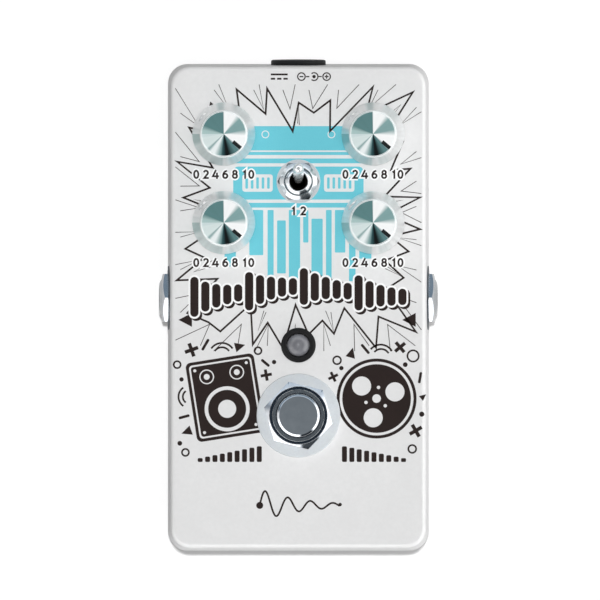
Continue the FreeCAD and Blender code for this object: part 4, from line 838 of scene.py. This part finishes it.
# Nylon is milky and a little soft in the light, spring steel a dull bright grey, and the pressed
# paper laminate a mottled tan.
nylon = grained("moulded_white_nylon", ("d3d6d8", "cacdd0"), 0.4, 0.006, (0.35, 0.5),
                Subsurface_Weight=0.05)
spring_wire = grained("drawn_spring_steel", ("a3a3a6", "85858a"), 0.2, 0.002, (0.25, 0.4),
                      Metallic=1.0)
laminate = grained("pressed_tan_laminate", ("96704a", "7f5c39"), 0.7, 0.01, (0.5, 0.65))
place = on_panel(0, FOOT_Y)
washer = turned_piece("nylon_washer_finish", [
    (6.15, 0.0), (9.5, 0.0), (9.65, 0.12), (9.65, 0.85), (9.55, 1.08), (9.3, 1.2), (6.3, 1.2),
    (6.15, 1.1)], 128, closed=True)
fit(washer, place, "enclosure", "white_nylon", nylon, "footswitch_nylon_washer")
dress_nut = hex_nut("dress_nut_finish", 14.0, 6.02, [
    (7.4, 1.2), (8.0, 1.5), (8.09, 1.7), (8.09, 2.56), (8.02, 2.64), (6.88, 3.19), (6.74, 3.25),
    (6.68, 3.36), (6.68, 4.99), (6.62, 5.07), (6.06, 5.19), (6.02, 5.15)], NUT_TURN)
fit(dress_nut, place, "enclosure", "chrome_plate", polished_chrome, "footswitch_dress_nut")
bushing = turned_piece("footswitch_bushing_finish", [(5.0, -6.7), (5.9, -6.7)]
                       + screw_rings(11, -6.2, 0.75, 5.78, 6.0, 0.3)
                       + [(6.0, 5.2), (6.0, 5.6), (5.93, 5.7), (5.22, 5.79), (5.03, 5.75),
                          (5.0, 5.68)], 96, closed=True)
fit(bushing, place, "enclosure", "nickel_plate", bright_nickel, "footswitch_bushing", 16)
button = turned_piece("footswitch_button_finish", [
    (0.0001, -12.85), (1.2, -12.85), (1.4, -12.65), (1.4, -9.55), (3.3, -9.55), (3.4, -9.45),
    (3.4, -8.05), (3.3, -7.95), (2.0, -7.95), (2.0, 0.8), (4.85, 0.8), (4.95, 0.9),
    (4.95, 10.8), (4.92, 10.98), (4.86, 11.07), (4.78, 11.12), (4.42, 11.3), (0.0, 11.3)], 128)
fit(button, place, "footswitch_button", "chrome_plate", polished_chrome, "footswitch_button", 16)
dress(zinc_plating, "footswitch_yoke", "footswitch_lock_washer")
dress(nickel_plating, "footswitch_inner_nut")
spring = smooth_copy("footswitch_spring", "enclosure", "spring_steel", spring_wire, 60)
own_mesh(spring)
dress(blue_thermoset, "footswitch_case")
dress(laminate, "footswitch_base")
dress(tinned_brass, "footswitch_lugs")
dress(silvered_brass, "footswitch_rocker")


# Jacks: one for quarter-inch plugs in each side wall, a moulded case behind a plated bushing.
# A chromed hex nut on a thin washer clamps the bushing to the drafted wall.
WALL_DRAFT = math.radians(1.2)
WALL_FOOT = 5.0
HALF_WIDTH = 30.0
HALF_LENGTH = 56.0
JACK_HEIGHT = 17.5
JACK_Y = 2.2

# The filled moulding is matt black. The washer's nickel is painted dark grey as painted shade
# between the nut and the wall, and the contacts are clean rolled brass.
moulded_pbt = grained("moulded_black_pbt", ("19191a", "131314"), 0.4, 0.008, (0.5, 0.65),
                      Specular_IOR_Level=0.3)
# Painted shade: the washer is coloured dark grey for the shade it sits in between the nut and the
# wall.
washer_painted_shade = grained("nickel_washer_painted_shade", ("6d747b", "596067"), 0.25, 0.002, (0.3, 0.4),
                        Metallic=1.0)
spring_brass = grained("rolled_spring_brass", ("c8a860", "ae8f4c"), 0.25, 0.002, (0.25, 0.38),
                       Metallic=1.0)


def wall_place(side, height, along, half):
    """The place on a drafted wall: Z out of the wall and Y up it."""
    lean = (height - WALL_FOOT) * math.tan(WALL_DRAFT)
    level, tilt = math.cos(WALL_DRAFT), math.sin(WALL_DRAFT)
    out = Vector((side[0] * level, side[1] * level, tilt))
    up = Vector((-side[0] * tilt, -side[1] * tilt, level))
    across = up.cross(out)
    point = Vector((side[0] * (half - lean) + abs(side[1]) * along,
                    side[1] * (half - lean) + abs(side[0]) * along, height))
    turn = Matrix((across, up, out)).transposed().to_4x4()
    return Matrix.Translation(point * MM) @ turn


jack_nut = hex_nut("jack_nut_blank", 11.0, 4.52, [
    (5.9, 0.3), (6.36, 0.42), (6.36, 1.05), (6.1, 1.2), (5.8, 1.34), (5.5, 1.46), (5.2, 1.56),
    (4.9, 1.65), (4.65, 1.7), (4.56, 1.68)], 90)
jack_washer = turned_piece("jack_washer_blank", [
    (4.65, 0.0), (7.3, 0.0), (7.35, 0.06), (7.35, 0.24), (7.28, 0.3), (4.7, 0.3), (4.65, 0.25)],
    96, closed=True)
sleeve = turned_piece("jack_bushing_blank", [(3.25, -3.2), (5.6, -3.2), (5.6, -2.0), (4.4, -2.0)]
                      + screw_rings(6, -1.8, 0.5, 4.34, 4.5, 0.22)
                      + [(4.5, 1.6), (4.3, 1.74), (4.05, 1.9), (3.8, 2.04), (3.55, 2.17),
                         (3.38, 2.24), (3.3, 2.25), (3.25, 2.2)], 96, closed=True)
for piece in (jack_nut, jack_washer, sleeve):
    smooth(piece)
for side, name in ((1, "input"), (-1, "output")):
    wall = wall_place((side, 0), JACK_HEIGHT, JACK_Y, HALF_WIDTH)
    for blank, kind, slot, material in (
            (jack_nut, "jack_nut", "chrome_plate", polished_chrome),
            (jack_washer, "jack_washer", "nickel_steel", washer_painted_shade),
            (sleeve, "jack_bushing", "nickel_plate", bright_nickel)):
        twin = moved_copy(blank, name + "_" + kind, wall)
        settle(twin, "enclosure", slot, material, kind + "s")
for piece in (jack_nut, jack_washer, sleeve):
    bpy.data.objects.remove(piece)
dress(moulded_pbt, "input_jack_case", "output_jack_case")
dress(spring_brass, "jack_contacts")


# Power socket: a black moulding through the rear wall, held by a nut inside.
# Its round flange shows outside, with the centre pin in the bore.
SOCKET_HEIGHT = 14.5
socket = turned_piece("power_socket_finish", [
    (2.95, -8.85), (2.95, 0.9), (3.1, 1.1), (3.3, 1.15), (5.9, 1.15), (6.15, 1.08), (6.27, 0.92),
    (6.3, 0.7), (6.3, 0.1), (6.25, 0.0), (5.4, 0.0), (5.4, -12.0)], 96)
fit(socket, wall_place((0, 1), SOCKET_HEIGHT, 0.0, HALF_LENGTH), "enclosure", "black_moulding",
    moulded_pbt, "power_socket_housing")
dress(moulded_pbt, "power_socket_nut")
dress(nickel_plating, "power_socket_contacts")


# Circuit boards: green glass-epoxy boards under the controls and over the footswitch.
# Chips, resistors and capacitors hang under the main board; a ribbon joins the two.
# Solder resist is a clear glossy green and dipped epoxy glossy red; moulded epoxy is matt, drawn
# cans show lines along their length, and the nylon and the cable sheaths have a plain low sheen.
solder_resist = grained("green_solder_resist", ("1a5e3c", "144d31"), 1.2, 0.01, (0.25, 0.4),
                        Coat_Weight=0.3)
moulded_epoxy = grained("moulded_black_epoxy", ("1b1b1d", "121214"), 0.25, 0.008, (0.55, 0.7))
drawn_can = grained("drawn_aluminium_can", ("b6b9be", "9b9fa6"), 0.3, 0.002, (0.25, 0.35),
                    (1, 1, 0.15), Metallic=1.0)
red_epoxy = grained("dipped_red_epoxy", ("962622", "7d1d1a"), 0.8, 0.01, (0.2, 0.35))
header_nylon = grained("header_nylon", ("d8d6cf", "cbc9c1"), 0.4, 0.006, (0.4, 0.55))
ribbon_pvc = grained("extruded_grey_pvc", ("969899", "87898a"), 0.5, 0.006, (0.45, 0.6))
wire_pvc = grained("extruded_black_pvc", ("202022", "171719"), 0.4, 0.006, (0.4, 0.55))
dress(solder_resist, "main_board", "switch_board")
dress(moulded_epoxy, "board_chips", "board_resistors")
dress(drawn_can, "electrolytic_capacitors")
dress(red_epoxy, "film_capacitors")
dress(header_nylon, "board_headers")
dress(ribbon_pvc, "ribbon_cable")
dress(wire_pvc, "hookup_wires")


# Studio: a pale floor that keeps the pedal's shadow, a lamp nearly straight above, two low
# reflector cards to the right and in front, and a soft sky whose pale panels show in reflections.
LAMP_LIGHT = 0.75
LAMP_TILT = -3.0
LAMP_ANGLE = 1.5
CARD_LIGHT = 0.42
SKY_LIGHT = 0.32
SKY_LEAN = 1.2
PANEL_LIGHT = 2.2
VIEW_WIDTH = 138.1
bpy.ops.object.select_all(action="DESELECT")
bpy.ops.mesh.primitive_plane_add(size=8.0, location=(0, 0, 0))
floor = bpy.context.object
floor.name = "studio_floor"
paper = new_material("white_paper_floor", Roughness=0.9, Specular_IOR_Level=0.0)
seen = add_node(paper, "ShaderNodeLightPath", {})
clear = add_node(paper, "ShaderNodeMath", {0: seen.outputs["Is Camera Ray"],
                                           1: seen.outputs["Is Transmission Ray"]},
                 operation="MAXIMUM")
shown = add_node(paper, "ShaderNodeMath", {0: seen.outputs["Is Glossy Ray"], 1: 0.3,
                                           2: clear.outputs["Value"]},
                 operation="MULTIPLY_ADD", use_clamp=True)
sheet = add_node(paper, "ShaderNodeMix", {"Factor": shown.outputs["Value"],
                                          "A": colour("b0b0b0"), "B": colour("fdfdfd")},
                 data_type="RGBA")
set_surface(paper, Base_Color=sheet.outputs["Result"])
share = add_node(paper, "ShaderNodeMath", {0: seen.outputs["Is Camera Ray"], 1: 0.1},
                 operation="MULTIPLY")
glow = add_node(paper, "ShaderNodeEmission", {"Color": (1, 1, 1, 1), "Strength": 1.6})
surface = paper.node_tree.nodes["Principled BSDF"].outputs["BSDF"]
mixed = add_node(paper, "ShaderNodeMixShader", {0: share.outputs["Value"], 1: surface,
                                                2: glow.outputs["Emission"]})
paper.node_tree.links.new(mixed.outputs["Shader"],
                          paper.node_tree.nodes["Material Output"].inputs["Surface"])
floor.data.materials.append(paper)

world = bpy.data.worlds.new("studio")
bpy.context.scene.world = world
world.use_nodes = True
sky = add_node(world, "ShaderNodeTexCoord", {})
lean = add_node(world, "ShaderNodeVectorMath",
                {0: sky.outputs["Generated"], 1: (0.8, -0.6, 0.0)}, operation="DOT_PRODUCT")
tilted = add_node(world, "ShaderNodeMath",
                  {0: lean.outputs["Value"], 1: SKY_LIGHT * SKY_LEAN, 2: SKY_LIGHT},
                  operation="MULTIPLY_ADD")
lit = add_node(world, "ShaderNodeMath", {0: tilted.outputs["Value"], 1: 0.0}, operation="MAXIMUM")
split = add_node(world, "ShaderNodeSeparateXYZ", {"Vector": sky.outputs["Generated"]})

# Reflections see a grey ceiling, a pale ring round it, and tall pale panels on three sides.
ceiling = add_node(world, "ShaderNodeValToRGB", {"Fac": split.outputs["Z"]},
                   [(0.0, "f4f4f4"), (0.12, "8a9095"), (0.22, "30373e"), (0.3, "3a434c"),
                    (0.42, "59656f"), (0.54, "59656f"), (0.59, "9aa2aa"), (0.66, "9aa2aa"),
                    (0.7, "cfd5da"), (0.75, "cfd5da"), (0.79, "ffffff"), (0.85, "ffffff"),
                    (0.89, "27303a"), (0.955, "27303a"), (0.98, "82888c"), (1.0, "82888c")])
panels = add_node(world, "ShaderNodeValToRGB", {"Fac": split.outputs["Z"]},
                  [(0.0, "f8f8f8"), (0.12, "ffffff"), (0.17, "30373e"), (0.27, "30373e"),
                   (0.33, "ffffff"), (0.85, "ffffff"), (0.89, "27303a"), (0.955, "27303a"),
                   (0.98, "82888c"), (1.0, "82888c")])
bearing = add_node(world, "ShaderNodeTexGradient", {"Vector": sky.outputs["Generated"]},
                   gradient_type="RADIAL")
sides = add_node(world, "ShaderNodeValToRGB", {"Fac": bearing.outputs["Fac"]},
                 [(0.0, "ffffff"), (0.255, "ffffff"), (0.275, "000000"), (0.36, "000000"),
                  (0.39, "ffffff"), (0.56, "ffffff"), (0.62, "000000"), (0.955, "000000"),
                  (0.985, "ffffff"), (1.0, "ffffff")])
open_sides = add_node(world, "ShaderNodeMix", {"Factor": sides.outputs["Color"],
                                               "A": ceiling.outputs["Color"],
                                               "B": panels.outputs["Color"]}, data_type="RGBA")
strong = add_node(world, "ShaderNodeMapRange",
                  {"Value": split.outputs["Z"], "From Min": 0.86, "From Max": 0.9,
                   "To Min": PANEL_LIGHT, "To Max": 1.0})
soft = add_node(world, "ShaderNodeMapRange",
                {"Value": split.outputs["Z"], "From Min": 0.0, "From Max": 0.25,
                 "To Min": 1.0, "To Max": strong.outputs["Result"]})
ray = add_node(world, "ShaderNodeLightPath", {})
straight = add_node(world, "ShaderNodeMath", {0: ray.outputs["Is Camera Ray"],
                                              1: ray.outputs["Is Transmission Ray"]},
                    operation="MAXIMUM")
seen_white = add_node(world, "ShaderNodeMix", {"Factor": straight.outputs["Value"],
                                               "A": lit.outputs["Value"], "B": 1.0},
                      data_type="FLOAT")
shown = add_node(world, "ShaderNodeBackground", {"Strength": seen_white.outputs[0]})

# A grey card at the left and a darker one in front shade the lower reflections; the ceiling
# stays clear of them.
dark_cards = add_node(world, "ShaderNodeValToRGB", {"Fac": bearing.outputs["Fac"]},
                      [(0.0, "b4b4b4"), (0.02, "b4b4b4"), (0.05, "ffffff"), (0.255, "ffffff"),
                       (0.275, "5c5c5c"), (0.36, "5c5c5c"), (0.38, "ffffff"), (0.92, "ffffff"),
                       (0.95, "b4b4b4"), (1.0, "b4b4b4")])
shaded = add_node(world, "ShaderNodeMix", {"Factor": 1.0, "A": open_sides.outputs["Result"],
                                           "B": dark_cards.outputs["Color"]},
                  data_type="RGBA", blend_type="MULTIPLY")
above = add_node(world, "ShaderNodeMapRange",
                 {"Value": split.outputs["Z"], "From Min": 0.86, "From Max": 0.9})
seen_above = add_node(world, "ShaderNodeMix", {"Factor": above.outputs["Result"],
                                               "A": shaded.outputs["Result"],
                                               "B": open_sides.outputs["Result"]}, data_type="RGBA")
mirrored = add_node(world, "ShaderNodeBackground",
                    {"Color": seen_above.outputs["Result"], "Strength": soft.outputs["Result"]})
both = add_node(world, "ShaderNodeMixShader", {0: ray.outputs["Is Glossy Ray"],
                                               1: shown.outputs["Background"],
                                               2: mirrored.outputs["Background"]})
world.node_tree.links.new(both.outputs["Shader"],
                          world.node_tree.nodes["World Output"].inputs["Surface"])
for name, light, turn in (("overhead_lamp", LAMP_LIGHT, (LAMP_TILT, 0, 0)),
                          ("right_card", CARD_LIGHT, (0, 89, 0)),
                          ("front_card", CARD_LIGHT, (89, 0, 0))):
    lamp_data = bpy.data.lights.new(name, "SUN")
    lamp_data.energy = light * math.pi
    lamp_data.angle = math.radians(LAMP_ANGLE)
    lamp = bpy.data.objects.new(name, lamp_data)
    bpy.context.collection.objects.link(lamp)
    lamp.visible_glossy = False
    lamp.rotation_euler = [math.radians(angle) for angle in turn]

camera_data = bpy.data.cameras.new("camera")
camera_data.type = "ORTHO"
camera_data.ortho_scale = VIEW_WIDTH * MM
camera = bpy.data.objects.new("camera", camera_data)
bpy.context.collection.objects.link(camera)
camera.location = (0.37 * MM, 1.68 * MM, 0.6)
bpy.context.scene.camera = camera
bpy.context.scene.view_settings.view_transform = "Standard"

bpy.context.view_layer.update()
